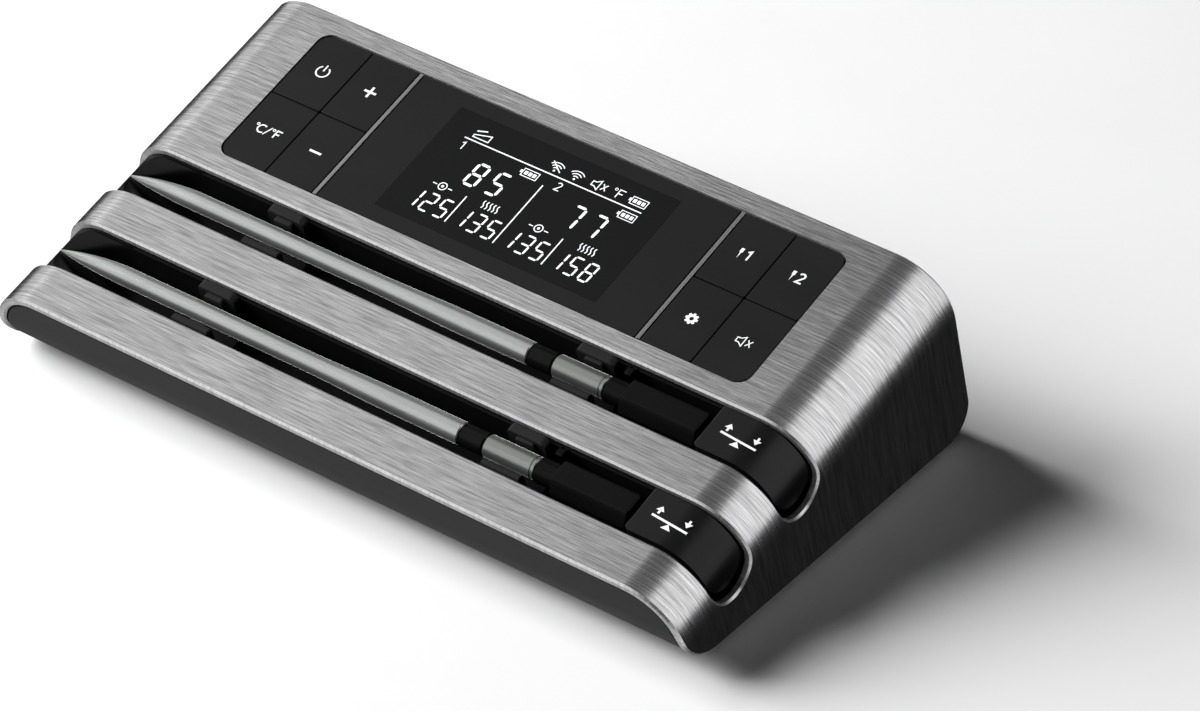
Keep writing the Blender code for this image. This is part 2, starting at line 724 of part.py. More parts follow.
# ---- probes ------------------------------------------------------------------------------
def needle_radius(x):
    """Radius along the needle: a long curved point, a slim shank, a thicker root."""
    share = (x - TIP_X) / POINT_LENGTH
    if share < 1:
        return NEEDLE_RADIUS * math.sin(share * math.pi / 2) ** 0.8
    share = min(max((x - SWELL_X[0]) / (SWELL_X[1] - SWELL_X[0]), 0), 1)
    blend = share * share * (3 - 2 * share)
    return NEEDLE_RADIUS + (SHANK_RADIUS - NEEDLE_RADIUS) * blend


def needle_mesh(name):
    """Rings lofted along X: the point lies low, so its upper side slopes down to it."""
    stations = [TIP_X + POINT_LENGTH * (step / 10) ** 1.5 for step in range(1, 11)]
    stations.append(-0.045)
    stations += [SWELL_X[0] + (SWELL_X[1] - SWELL_X[0]) * step / 4 for step in range(5)]
    stations.append(BAND_X[0] - GAP)
    shape = bmesh.new()
    tip = shape.verts.new((TIP_X, 0, -TIP_DROP))
    rings = []
    for x in stations:
        radius = needle_radius(x)
        drop = TIP_DROP * max(0, 1 - (x - TIP_X) / POINT_LENGTH) ** 1.6
        ring = []
        for step in range(NEEDLE_SIDES):
            turn = 2 * math.pi * step / NEEDLE_SIDES
            ring.append(shape.verts.new((x, radius * math.cos(turn),
                                         radius * math.sin(turn) - drop)))
        rings.append(ring)
    for step in range(NEEDLE_SIDES):
        after = (step + 1) % NEEDLE_SIDES
        shape.faces.new((tip, rings[0][step], rings[0][after]))
        for one, two in zip(rings, rings[1:]):
            shape.faces.new((one[step], two[step], two[after], one[after]))
    shape.faces.new(rings[-1])
    bmesh.ops.recalc_face_normals(shape, faces=shape.faces)
    mesh = bpy.data.meshes.new(name)
    shape.to_mesh(mesh)
    shape.free()
    return mesh


def sleeve_along_x(name, radius, low, high, look, axis):
    chamfer = 0.0002
    made = turned(name, [(0, high), (radius - chamfer, high), (radius, high - chamfer),
                         (radius, low + chamfer), (radius - chamfer, low), (0, low)], look,
                  NEEDLE_SIDES)
    made.parent = axis
    made.rotation_euler = (0, math.pi / 2, 0)
    return made


def handle_outline():
    """A flattened hexagon with a flat top and bottom."""
    flat, wide, high = HANDLE_FLAT_HALF, HANDLE_HALF_WIDTH, HANDLE_HALF_HEIGHT
    return [(-flat, high), (-wide, 0), (-flat, -high), (flat, -high), (wide, 0), (flat, high)]


def probe(name, centre):
    """Needle, insulating band, collar and six-sided handle on one empty on the probe's axis."""
    axis = bpy.data.objects.new(f"probe_{name}_axis", None)
    axis.parent = DECK
    axis.location = (0, centre, PROBE_N)
    PARTS.objects.link(axis)
    place(f"probe_{name}_needle", needle_mesh(f"probe_{name}_needle"), PROBE_STEEL, axis)
    sleeve_along_x(f"probe_{name}_band", SHANK_RADIUS, *BAND_X, BLACK, axis)
    sleeve_along_x(f"probe_{name}_collar", SHANK_RADIUS, BAND_X[1] + GAP, COLLAR_END_X,
                   PROBE_STEEL, axis)
    handle = prism(f"probe_{name}_handle", "VN", handle_outline(), *HANDLE_X, BLACK)
    handle.parent = axis
    bevel(handle, 0.0005)
    neck = sleeve_along_x(f"neck_{name}", 0.0029, COLLAR_END_X + GAP, HANDLE_X[0] + 0.002,
                          None, axis)
    join_shape(handle, neck)


# ---- the whole object --------------------------------------------------------------------
steel_shell()
covers()
base_cover()
feet_and_base_screws()
inner_frame()
panel()
electronics()
for slot, slot_v in SLOTS.items():
    tray(slot, slot_v)
    for end, clip_x in CLIP_X.items():
        clip(f"clip_{slot}_{end}", clip_x, slot_v, NEEDLE_RADIUS + 0.0004 if end == "left"
             else SHANK_RADIUS + 0.0004)
    contact(slot, slot_v)
    press_key(slot, slot_v)
    probe(slot, slot_v)

for piece in PARTS.objects:
    if piece.type == "MESH":
        piece.data.shade_smooth()
        piece.data.set_sharp_from_angle(angle=math.radians(35))
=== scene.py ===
"""Looks for a meat thermometer's dock and two probes: fine meshes, materials, light, camera.

Metres. Shapes are drawn in the deck frame (X, V up the slope, N out of the deck), whose axes
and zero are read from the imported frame, and are then moved into the world.
"""
import json
from math import acos, cos, dist, pi, radians, sin, sqrt, tan

import bmesh
import bpy
from mathutils import Matrix, Vector


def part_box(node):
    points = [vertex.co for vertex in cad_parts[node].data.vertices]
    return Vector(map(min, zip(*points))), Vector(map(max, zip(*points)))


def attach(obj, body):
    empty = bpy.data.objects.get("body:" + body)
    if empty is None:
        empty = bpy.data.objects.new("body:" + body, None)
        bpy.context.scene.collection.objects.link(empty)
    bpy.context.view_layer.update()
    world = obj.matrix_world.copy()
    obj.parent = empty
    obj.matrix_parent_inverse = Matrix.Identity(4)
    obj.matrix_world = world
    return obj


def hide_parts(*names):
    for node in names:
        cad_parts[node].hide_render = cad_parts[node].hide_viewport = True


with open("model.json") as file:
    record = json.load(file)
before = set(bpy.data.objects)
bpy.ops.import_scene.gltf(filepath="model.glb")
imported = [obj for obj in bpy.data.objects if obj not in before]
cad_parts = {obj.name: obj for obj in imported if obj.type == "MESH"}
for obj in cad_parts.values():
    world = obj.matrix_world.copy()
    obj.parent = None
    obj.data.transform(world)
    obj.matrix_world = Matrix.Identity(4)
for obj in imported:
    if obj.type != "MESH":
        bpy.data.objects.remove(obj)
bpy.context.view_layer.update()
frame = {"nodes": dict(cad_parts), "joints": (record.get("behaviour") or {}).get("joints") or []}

# ---- the deck frame, from a probe's lift axis and the steel shell ----
LIFT = next(joint for joint in frame["joints"] if joint["name"] == "probe_rear_lift")
N_AXIS = Vector(LIFT["axis"]).normalized()
X_AXIS = Vector((1, 0, 0))
V_AXIS = N_AXIS.cross(X_AXIS)
GAP = 0.0003


def extent(node, axis):
    """Lowest and highest reach of a CAD node along a world direction."""
    places = [axis.dot(vertex.co) for vertex in frame["nodes"][node].data.vertices]
    return min(places), max(places)


PANEL_FRONT = extent("divider_left", V_AXIS)[0] - GAP
DECK_TOP = extent("steel_shell", N_AXIS)[1]
ORIGIN = V_AXIS * PANEL_FRONT + N_AXIS * DECK_TOP
DECK = Matrix.Translation(ORIGIN) @ Matrix((X_AXIS, V_AXIS, N_AXIS)).transposed().to_4x4()


def reach(node):
    """(low X, high X), (low V, high V), (low N, high N) of a CAD node in the deck frame."""
    zeros = ((X_AXIS, 0), (V_AXIS, PANEL_FRONT), (N_AXIS, DECK_TOP))
    return [tuple(end - zero for end in extent(node, axis)) for axis, zero in zeros]


def centre_of(node, axis):
    """Middle of a CAD node along X (0), V (1) or N (2)."""
    return sum(reach(node)[axis]) / 2


def half_of(node, axis):
    """Half the size of a CAD node along X (0), V (1) or N (2)."""
    low, high = reach(node)[axis]
    return (high - low) / 2


# ---- sizes read from the frame, and the radii and rims of the finished surfaces ----
HALF = reach("steel_shell")[0][1]
FRONT_V, REAR_V = reach("steel_shell")[1]
FOOT_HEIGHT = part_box("steel_shell")[0].z
TILT = acos(N_AXIS.z)
SHEET = 0.002
UNDER = -SHEET - GAP  # N of the room right under the sheet
END_RADIUS = 0.0136
FRONT_RADIUS = 0.0137
REAR_RADIUS = 0.0072
FLAT_HALF = HALF - END_RADIUS
QUARTER = END_RADIUS * pi / 2  # length of sheet in one end bend
RIM = 0.00045
SMALL_RIM = 0.00018
EDGE = 0.0004
PANEL_DEPTH = reach("divider_left")[1][1] + GAP
PANEL_HALF = GAP - reach("key_power")[0][0]
PANEL_RADIUS = 0.0033
SLOTS = {name: centre_of(f"press_key_{name}", 1) for name in ("rear", "front")}
SLOT_HALF = 0.0068
SLOT_DEPTH = 0.0154
TRAY_HALF = 0.0063
TRAY_WALL = 0.0013
PROBE_N = centre_of("probe_rear_band", 2)
FAR = 0.08  # past the whole dock, for cutters
ARC_STEPS = 20
BEND_STEPS = 2 * ARC_STEPS


# ---- materials ----
def fill(node, inputs):
    """Sets a shader node's inputs by name, with _ for a space."""
    for name, value in inputs.items():
        node.inputs[name.replace("_", " ")].default_value = value
    return node


class Look:
    """A Principled material whose colour, roughness and bump come from noise."""

    def __init__(self, name, colour, roughness, metallic=0.0, **sockets):
        self.material = bpy.data.materials.new(name)
        self.material.use_nodes = True
        self.tree = self.material.node_tree
        self.colour = colour
        self.height = None
        base = {"Base_Color": (*colour, 1), "Roughness": roughness, "Metallic": metallic}
        self.shader = fill(self.tree.nodes["Principled BSDF"], base | sockets)

    def node(self, kind, **inputs):
        return fill(self.tree.nodes.new(kind), inputs)

    def link(self, source, target):
        self.tree.links.new(source, target)

    def attribute(self, name):
        made = self.node("ShaderNodeAttribute")
        made.attribute_name = name
        return made.outputs["Vector"]

    def place(self, stretch, attribute=None):
        """Coordinates scaled by stretch: the object's own, or a named attribute's."""
        mapping = self.node("ShaderNodeMapping", Scale=stretch)
        vector = (self.attribute(attribute) if attribute
                  else self.node("ShaderNodeTexCoord").outputs["Object"])
        self.link(vector, mapping.inputs["Vector"])
        return mapping.outputs["Vector"]

    def noise(self, stretch, detail=3.0, attribute=None, sharpness=0.55):
        made = self.node("ShaderNodeTexNoise", Scale=1.0, Detail=detail, Roughness=sharpness)
        self.link(self.place(stretch, attribute), made.inputs["Vector"])
        return made.outputs["Fac"]

    def spread(self, value, low, high, start=0.3, end=0.7):
        """Maps a texture's middle range to low..high."""
        made = self.node("ShaderNodeMapRange", From_Min=start, From_Max=end, To_Min=low,
                         To_Max=high)
        self.link(value, made.inputs["Value"])
        return made.outputs["Result"]

    def colour_by(self, value, darker, lighter, start=0.3, end=0.7):
        """Blends two shades of the colour by a texture."""
        made = self.node("ShaderNodeMix")
        made.data_type = "RGBA"
        for name, factor in (("A", darker), ("B", lighter)):
            made.inputs[name].default_value = (*(channel * factor for channel in self.colour), 1)
        self.link(self.spread(value, 0, 1, start, end), made.inputs["Factor"])
        self.link(made.outputs["Result"], self.shader.inputs["Base Color"])

    def roughness_by(self, value, low, high):
        self.link(self.spread(value, low, high), self.shader.inputs["Roughness"])

    def bump_by(self, value, distance, strength):
        """Adds a bump layer on top of those already there."""
        bump = self.node("ShaderNodeBump", Distance=distance, Strength=strength)
        self.link(value, bump.inputs["Height"])
        if self.height is not None:
            self.link(self.height, bump.inputs["Normal"])
        self.height = bump.outputs["Normal"]
        self.link(self.height, self.shader.inputs["Normal"])

    def wear(self, value, shades, roughness, bump):
        """Lets one texture lead the colour, the roughness and a bump layer."""
        self.colour_by(value, *shades)
        self.roughness_by(value, *roughness)
        self.bump_by(value, *bump)
        return self.material


def brushed_steel():
    """Sheet steel brushed along its length, also where it bends over the ends."""
    look = Look("brushed_steel", (0.60, 0.60, 0.61), 0.25, 1.0, Anisotropic=0.6)
    hair = look.noise((75, 2100, 640), 2, "unrolled", 0.85)
    streak = look.noise((20, 700, 220), 3, "unrolled", 0.65)
    look.colour_by(hair, 0.62, 1.28, 0.34, 0.66)
    look.roughness_by(streak, 0.22, 0.26)
    look.bump_by(streak, 0.00003, 0.4)
    look.bump_by(hair, 0.00008, 0.5)
    look.link(look.attribute("grain"), look.shader.inputs["Tangent"])
    return look.material


def cut_steel(name, colour, metallic):
    """Steel milled across the sheet's edge: its matt cut face or its bright chamfer."""
    look = Look(name, colour, 0.38, metallic)
    scratch = look.noise((1500, 900, 240), 3, "unrolled", 0.7)
    return look.wear(scratch, (0.7, 1.15), (0.32, 0.46), (0.00005, 0.5))


def probe_steel(name, colour):
    """Ground stainless rod with faint turning marks and a few soft stains."""
    look = Look(name, colour, 0.35, 0.85, Sheen_Weight=1.0, Sheen_Roughness=0.25)
    turning = look.noise((2600, 120, 120), 2)
    cloud = look.noise((60, 200, 200), 3)
    look.colour_by(cloud, 0.92, 1.04)
    look.roughness_by(cloud, 0.32, 0.38)
    look.bump_by(turning, 0.000004, 0.1)
    return look.material


def metal(name, colour, roughness, grain, stretch=(1, 1, 1)):
    """Small plain metal parts, brushed or plated."""
    look = Look(name, colour, roughness, 1.0)
    scratch = look.noise(tuple(grain * factor for factor in stretch), 3, None, 0.6)
    return look.wear(scratch, (0.86, 1.08), (roughness * 0.8, roughness * 1.25), (0.00002, 0.35))


def plastic(name, colour, roughness, grain, depth, gloss=0.5, **sockets):
    """Moulded plastic or rubber: spark-eroded grain, faint flow marks and handling marks."""
    look = Look(name, colour, roughness, Specular_IOR_Level=gloss, **sockets)
    speckle = look.noise((grain, grain, grain), 2, None, 0.5)
    flow = look.noise((30, 70, 70), 3)
    look.wear(flow, (0.88, 1.14), (roughness * 0.88, roughness * 1.12), (0.0002, 0.05))
    look.bump_by(speckle, depth, 0.35)
    return look.material


def board_green():
    """Solder mask over copper traces, with a fine glass weave."""
    look = Look("board_green", (0.015, 0.15, 0.06), 0.4, Coat_Weight=0.3)
    traces = look.node("ShaderNodeTexBrick")
    look.link(look.place((160, 160, 160)), traces.inputs["Vector"])
    look.colour_by(traces.outputs["Fac"], 0.8, 1.9, 0, 1)
    weave = look.noise((1500, 1500, 300), 1)
    look.roughness_by(weave, 0.32, 0.5)
    look.bump_by(traces.outputs["Fac"], 0.00005, 0.6)
    look.bump_by(weave, 0.00001, 0.3)
    return look.material


def cell_wrap():
    """Shrink film over a flat cell, with soft wrinkles."""
    look = Look("cell_wrap", (0.04, 0.12, 0.34), 0.3, Coat_Weight=0.4)
    wrinkle = look.noise((140, 45, 60), 4)
    return look.wear(wrinkle, (0.75, 1.15), (0.22, 0.42), (0.0004, 0.25))


LOOKS = {
    "brushed_steel": brushed_steel(),
    "cut_steel": cut_steel("cut_steel", (0.62, 0.62, 0.63), 0.65),
    "chamfer_steel": cut_steel("chamfer_steel", (0.84, 0.84, 0.85), 0.9),
    "probe_steel": probe_steel("probe_steel", (0.56, 0.58, 0.565)),
    # The collar is the rod's steel made darker: painted shade
    "shaded_collar_steel": probe_steel("shaded_collar_steel", (0.35, 0.36, 0.35)),
    "screw_steel": metal("screw_steel", (0.52, 0.52, 0.53), 0.3, 1400),
    "spring_steel": metal("spring_steel", (0.45, 0.45, 0.47), 0.28, 2200),
    "silver_trim": metal("silver_trim", (0.46, 0.46, 0.47), 0.34, 90, (0.4, 30, 30)),
    "contact_plate": metal("contact_plate", (0.018, 0.018, 0.018), 0.4, 2400),
    "display": plastic("display_glass", (0.011, 0.011, 0.0115), 0.3, 900, 0.000004, 0.17),
    "silicone": plastic("keypad_silicone", (0.30, 0.31, 0.32), 0.55, 1200, 0.00003,
                        Subsurface_Weight=0.1),
    "board": board_green(),
    "cell_wrap": cell_wrap(),
    # The white print gets a faint emission, a painted glow, though it is no lamp
    "white_print": plastic("white_print", (0.86, 0.87, 0.88), 0.5, 3000, 0.00001,
                           Emission_Color=(1, 1, 1, 1), Emission_Strength=0.10),
    "lit_segments": plastic("lit_segments", (0.88, 0.90, 0.92), 0.5, 3000, 0.00001,
                            Emission_Color=(0.93, 0.97, 1, 1), Emission_Strength=0.35),
}
# Dark mouldings: red and green, blue, roughness, grain scale, grain depth, specular level
DARK_LOOKS = {
    "dark_plastic": (0.022, 0.0235, 0.5, 2400, 0.00004, 0.25),
    "black_plastic": (0.006, 0.0063, 0.42, 2000, 0.00003, 0.14),
    "key_plastic": (0.012, 0.0125, 0.42, 3600, 0.00002, 0.17),
    # The end keys are the key plastic in a darker copy: painted shade
    "shaded_key_plastic": (0.007, 0.0073, 0.36, 3600, 0.00002, 0.32),
    "handle_plastic": (0.004, 0.0042, 0.34, 3000, 0.00002, 0.1),
    "band_ceramic": (0.004, 0.0042, 0.3, 1800, 0.00001, 0.12),
    "display_window": (0.005, 0.0053, 0.24, 700, 0.000004, 0.13),
    "black_rubber": (0.013, 0.0135, 0.5, 1800, 0.00005, 0.3),
}
for dark_name, (grey, blue, *dark_values) in DARK_LOOKS.items():
    LOOKS[dark_name] = plastic(dark_name, (grey, grey, blue), *dark_values)
CAD_LOOKS = {
    "black_plastic": ("inner_frame", "buzzer"),
    "silicone": ("keypad_mat_left", "keypad_mat_right"),
    "black_rubber": ("display_gasket",),
    "display_window": ("lcd_module",),
    "board": ("main_board",),
    "cell_wrap": ("battery_cell",),
    "spring_steel": ("press_spring_rear", "press_spring_front"),
    "screw_steel": ("press_pin_rear", "press_pin_front"),
}


# ---- outlines ----
def fillet(corners, steps=ARC_STEPS):
    """Points of a closed outline from corners (a, b) or (a, b, radius), rounded by arcs."""
    points = []
    for index, corner in enumerate(corners):
        here, radius = Vector(corner[:2]), (*corner, 0)[2]
        if radius == 0:
            points.append(tuple(here))
            continue
        before = (Vector(corners[index - 1][:2]) - here).normalized()
        after = (Vector(corners[(index + 1) % len(corners)][:2]) - here).normalized()
        half_angle = before.angle(after) / 2
        centre = here + (before + after).normalized() * radius / sin(half_angle)
        first = here + before * radius / tan(half_angle) - centre
        sweep = first.angle_signed(here + after * radius / tan(half_angle) - centre)
        for step in range(steps + 1):
            turn = Matrix.Rotation(-sweep * step / steps, 2)
            points.append(tuple(centre + turn @ first))
    return points


def rectangle(a_low, a_high, b_low, b_high, radius=0.0, steps=8):
    return fillet([(a_low, b_low, radius), (a_high, b_low, radius), (a_high, b_high, radius),
                   (a_low, b_high, radius)], steps)


def arch(a_low, a_high, foot, top, radius_low, radius_high=0, steps=ARC_STEPS):
    """An outline that stands on foot and has its two top corners rounded."""
    return fillet([(a_low, foot), (a_low, top, radius_low), (a_high, top, radius_high),
                   (a_high, foot)], steps)


def arc(a, b, radius, start, end, steps=20):
    """Points along an arc, its ends in degrees."""
    turns = [radians(start + (end - start) * step / steps) for step in range(steps + 1)]
    return [(a + radius * cos(turn), b + radius * sin(turn)) for turn in turns]


def circle(a, b, radius, steps=40):
    return arc(a, b, radius, 0, 360, steps)[:-1]


def mirrored(centre, side):
    """A closed outline from the corners (offset, height, radius) of one side."""
    other = [(-offset, *rest) for offset, *rest in reversed(side)]
    return [(centre + offset, *rest) for offset, *rest in side + other]


def between(low, high, share):
    return low + (high - low) * share


def smooth(share):
    share = min(max(share, 0.0), 1.0)
    return share * share * (3 - 2 * share)


# ---- mesh helpers ----
PLANES = {
    "XV": Matrix.Identity(4),
    "XN": Matrix.Rotation(pi / 2, 4, "X"),
    "VN": Matrix.Rotation(pi / 2, 4, "Z") @ Matrix.Rotation(pi / 2, 4, "X"),
}


def new_object(name, data):
    made = bpy.data.objects.new(name, data)
    bpy.context.scene.collection.objects.link(made)
    return made


def evaluated_mesh(source):
    bpy.context.view_layer.update()
    seen = source.evaluated_get(bpy.context.evaluated_depsgraph_get())
    return bpy.data.meshes.new_from_object(seen)


def slab(plane, outline, low, high, rim=0.0, holes=(), rim_steps=2):
    """An object in the deck frame: an outline extruded from low to high, with rounded rims."""
    curve = bpy.data.curves.new("slab", "CURVE")
    curve.dimensions = "2D"
    curve.fill_mode = "BOTH"
    curve.extrude = (high - low) / 2 - rim
    curve.bevel_depth = rim
    curve.bevel_resolution = rim_steps
    curve.offset = -rim
    for loop in (outline, *holes):
        spline = curve.splines.new("POLY")
        spline.points.add(len(loop) - 1)
        for point, (a, b) in zip(spline.points, loop):
            point.co = (a, b, 0, 1)
        spline.use_cyclic_u = True
    holder = new_object("holder", curve)
    mesh = evaluated_mesh(holder)
    bpy.data.objects.remove(holder)
    bpy.data.curves.remove(curve)
    sign = -1 if plane == "XN" else 1
    mesh.transform(PLANES[plane] @ Matrix.Translation((0, 0, sign * (low + high) / 2)))
    weld(mesh)
    return new_object("slab", mesh)


def across(outline, centre, half, rim=0.0):
    """A slab with an outline in X and N that reaches evenly to both sides of a slot's middle."""
    return slab("XN", outline, centre - half, centre + half, rim)


def weld(mesh, distance=1e-6):
    shape = bmesh.new()
    shape.from_mesh(mesh)
    bmesh.ops.remove_doubles(shape, verts=shape.verts, dist=distance)
    bmesh.ops.dissolve_degenerate(shape, edges=shape.edges, dist=distance)
    bmesh.ops.recalc_face_normals(shape, faces=shape.faces)
    shape.to_mesh(mesh)
    shape.free()


def apply(target, modifier):
    """Turns a modifier's result into the object's mesh."""
    mesh = evaluated_mesh(target)
    target.modifiers.remove(modifier)
    target.data = mesh
    return target


def combine(target, other, operation="DIFFERENCE"):
    """Applies one Boolean at once and drops the helper."""
    modifier = target.modifiers.new("cut", "BOOLEAN")
    modifier.operation = operation
    modifier.solver = "EXACT"
    modifier.object = other
    apply(target, modifier)
    bpy.data.objects.remove(other)
    return target


def round_edges(target, angle=35):
    """Rounds the edges sharper than angle."""
    weld(target.data)
    modifier = target.modifiers.new("rounded", "BEVEL")
    modifier.width = EDGE
    modifier.segments = 3
    modifier.limit_method = "ANGLE"
    modifier.angle_limit = radians(angle)
    return apply(target, modifier)


def from_shape(shape):
    bmesh.ops.recalc_face_normals(shape, faces=shape.faces)
    mesh = bpy.data.meshes.new("shape")
    shape.to_mesh(mesh)
    shape.free()
    return new_object("shape", mesh)


def loft(loops):
    """A solid skin over neighbouring closed loops; a loop of one point is a pole."""
    shape = bmesh.new()
    rings = [[shape.verts.new(point) for point in loop] for loop in loops]
    for one, two in zip(rings, rings[1:]):
        count = max(len(one), len(two))
        for step in range(count):
            after = (step + 1) % count
            corners = [one[step % len(one)], one[after % len(one)],
                       two[after % len(two)], two[step % len(two)]]
            shape.faces.new(list(dict.fromkeys(corners)))
    for end in (rings[0], rings[-1]):
        if len(end) > 1:
            shape.faces.new(end)
    return from_shape(shape)


def turned(profile, place, steps=48):
    """A solid of (radius, height) points turned about Z and moved by a matrix."""
    made = loft([[(a, b, height) for a, b in (circle(0, 0, radius, steps) if radius else [(0, 0)])]
                 for radius, height in profile])
    made.data.transform(place)
    return made


def enter(target, name, body, nodes):
    """Names a piece, puts it on its body and hides the CAD nodes it stands for."""
    target.name = name
    target.data.name = name
    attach(target, body)
    if nodes:
        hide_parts(*nodes)


def finish(target, name, body, look, nodes=(), slot=None, in_deck=True, angle=40):
    """Moves a piece into the world, shades it and enters it."""
    if in_deck:
        target.data.transform(DECK)
    target.data.materials.append(LOOKS[look])
    target.data.shade_smooth()
    target.data.set_sharp_from_angle(angle=radians(angle))
    even = target.modifiers.new("even_normals", "WEIGHTED_NORMAL")
    even.keep_sharp = True
    enter(target, name, body, nodes)


# ---- the bent steel shell ----
def bottom_n(v, inset=0.0):
    """N of the level underside at V, raised by inset."""
    return (FOOT_HEIGHT + inset - ORIGIN.z - v * sin(TILT)) / cos(TILT)


def arc_length(n):
    """Distance along the shell's outer face from its middle down to height N."""
    if n >= -END_RADIUS:
        return FLAT_HALF + END_RADIUS * acos(max(-1, min(1, 1 + n / END_RADIUS)))
    return FLAT_HALF + QUARTER - n - END_RADIUS


def bend(point):
    """Bends a point (distance, V, depth) of the flat sheet over an end: place and angle."""
    along, v, depth = point
    side = 1 if along >= 0 else -1
    past = abs(along) - FLAT_HALF
    if past <= 0:
        return Vector((along, v, depth)), 0.0
    angle = min(past / END_RADIUS, pi / 2)
    radius = END_RADIUS + depth
    x = FLAT_HALF + radius * sin(angle)
    n = -END_RADIUS + radius * cos(angle) - max(0.0, past - QUARTER)
    return Vector((side * x, v, n)), side * angle


def slot_loop(centre):
    """A slot in the flat sheet: straight along the deck, round at both ends."""
    side = []
    for step in range(BEND_STEPS + 1):
        turn = pi * (step / BEND_STEPS - 0.5)
        n = SLOT_HALF - SLOT_DEPTH - SLOT_HALF * cos(turn)
        side.append((arc_length(n), centre + SLOT_HALF * sin(turn)))
    return mirrored(0, side)


def steel_shell():
    """The steel cover: cut out flat with chamfered rims, then bent over both ends."""
    side_path = fillet([(FRONT_V, 0), (FRONT_V, bottom_n(FRONT_V), FRONT_RADIUS),
                        (REAR_V, bottom_n(REAR_V), REAR_RADIUS), (REAR_V, 0)])
    outline = mirrored(0, [(arc_length(n), v) for v, n in side_path])
    holes = [slot_loop(centre) for centre in SLOTS.values()]
    shell = slab("XV", outline, -SHEET, 0, RIM, holes, 0)
    opening = rectangle(-PANEL_HALF, PANEL_HALF, 0, PANEL_DEPTH, PANEL_RADIUS, 12)
    combine(shell, slab("XV", opening, -2 * SHEET, SHEET))
    shape = bmesh.new()
    shape.from_mesh(shell.data)
    for step in range(BEND_STEPS + 1):
        cut = FLAT_HALF + QUARTER * step / BEND_STEPS
        for side in (-1, 1):
            bmesh.ops.bisect_plane(shape, geom=shape.verts[:] + shape.edges[:] + shape.faces[:],
                                   dist=1e-7, plane_co=(side * cut, 0, 0), plane_no=(1, 0, 0))
    bmesh.ops.dissolve_degenerate(shape, edges=shape.edges, dist=1e-7)
    shape.normal_update()
    for face in shape.faces:
        face.smooth = True
        tilt = abs(face.normal.z)
        face.material_index = 0 if tilt > 0.99 else 1 if tilt < 0.3 else 2
    shape.to_mesh(shell.data)
    shape.free()
    bend_sheet(shell.data)
    for look in ("brushed_steel", "cut_steel", "chamfer_steel"):
        shell.data.materials.append(LOOKS[look])
    enter(shell, "shell_skin", "dock", ["steel_shell"])


def bend_sheet(mesh):
    """Bends the flat sheet, keeping its flat shading and its brushing direction."""
    flat = [vertex.co.copy() for vertex in mesh.vertices]
    smooth_normals = [vertex.normal.copy() for vertex in mesh.vertices]
    unrolled = mesh.attributes.new("unrolled", "FLOAT_VECTOR", "POINT")
    grain = mesh.attributes.new("grain", "FLOAT_VECTOR", "POINT")
    turns = []
    for index, vertex in enumerate(mesh.vertices):
        place, angle = bend(flat[index])
        turn = DECK.to_3x3() @ Matrix.Rotation(angle, 3, "Y")
        unrolled.data[index].vector = flat[index]
        grain.data[index].vector = turn @ X_AXIS
        turns.append(turn)
        vertex.co = DECK @ place
    normals = []
    for face in mesh.polygons:
        tilt = face_tilt(face, flat)
        level = 0.0 if abs(tilt) > 0.99 else sqrt(1 - tilt * tilt)
        for index in face.vertices:
            x, y, _ = smooth_normals[index]
            outward = Vector((x, y, 0)).normalized()
            normals.append(turns[index] @ (outward * level + Vector((0, 0, tilt))))
    mesh.normals_split_custom_set(normals)


def face_tilt(face, points):
    """How far a face of the flat sheet looks up (1) or down (-1)."""
    corners = [points[index] for index in face.vertices]
    pairs = zip(corners, corners[1:] + corners[:1])
    return sum((one.cross(two) for one, two in pairs), Vector()).normalized().z


# ---- front and rear walls ----
def cavity():
    """Room inside the shell, less a small gap."""
    half, radius = HALF + UNDER, END_RADIUS + UNDER
    return slab("XN", arch(-half, half, -FAR, UNDER, radius, radius), -FAR, FAR)


def wall(end_v, wall_v, radius):
    """An upright wall that turns under the dock, in the shell's rounded room."""
    inner_v = wall_v + (SHEET if wall_v < 0 else -SHEET)
    outline = fillet([(wall_v, UNDER), (wall_v, bottom_n(wall_v), radius),
                      (end_v, bottom_n(end_v)), (end_v, bottom_n(end_v, SHEET)),
                      (inner_v, bottom_n(inner_v, SHEET), radius - SHEET), (inner_v, UNDER)])
    return combine(slab("VN", outline, -HALF, HALF), cavity(), "INTERSECT")


SOCKET_HALF = 0.0016


def covers():
    front = wall(reach("front_cover")[1][1], FRONT_V + GAP, FRONT_RADIUS)
    finish(round_edges(front), "front_wall", "dock", "dark_plastic", ["front_cover"])
    rear = wall(reach("rear_cover")[1][0], REAR_V - GAP, REAR_RADIUS)
    socket_n = reach("usb_socket")[2][0] + SOCKET_HALF
    mouth_half, mouth_rise = 0.0049, SOCKET_HALF + GAP
    opening = rectangle(-mouth_half, mouth_half, socket_n - mouth_rise, socket_n + mouth_rise,
                        0.0018)
    combine(rear, slab("XN", opening, REAR_V - 0.008, REAR_V + 0.004))
    finish(round_edges(rear), "rear_wall", "dock", "dark_plastic", ["rear_cover"])


# ---- trays ----
# The hollow's boat-shaped left end runs from BOAT_TIP to BOAT_END, where it is full width.
BOAT_END = -0.0705
BOAT_TIP = reach("probe_rear_needle")[0][0] - 0.0006
BOAT_STEPS = 24
TIP_HALF = 0.0005
TIP_DEPTH = 0.0057
TIP_ROUND = 0.0006
TROUGH_ROUND = 12
LIP_STEPS = 6
PLUG_RECESS = 0.0015
PLUG_TOP = -0.0012
PLUG_X = -0.072
PIN_HOLE = 0.0013
PIN_REACH = 0.012


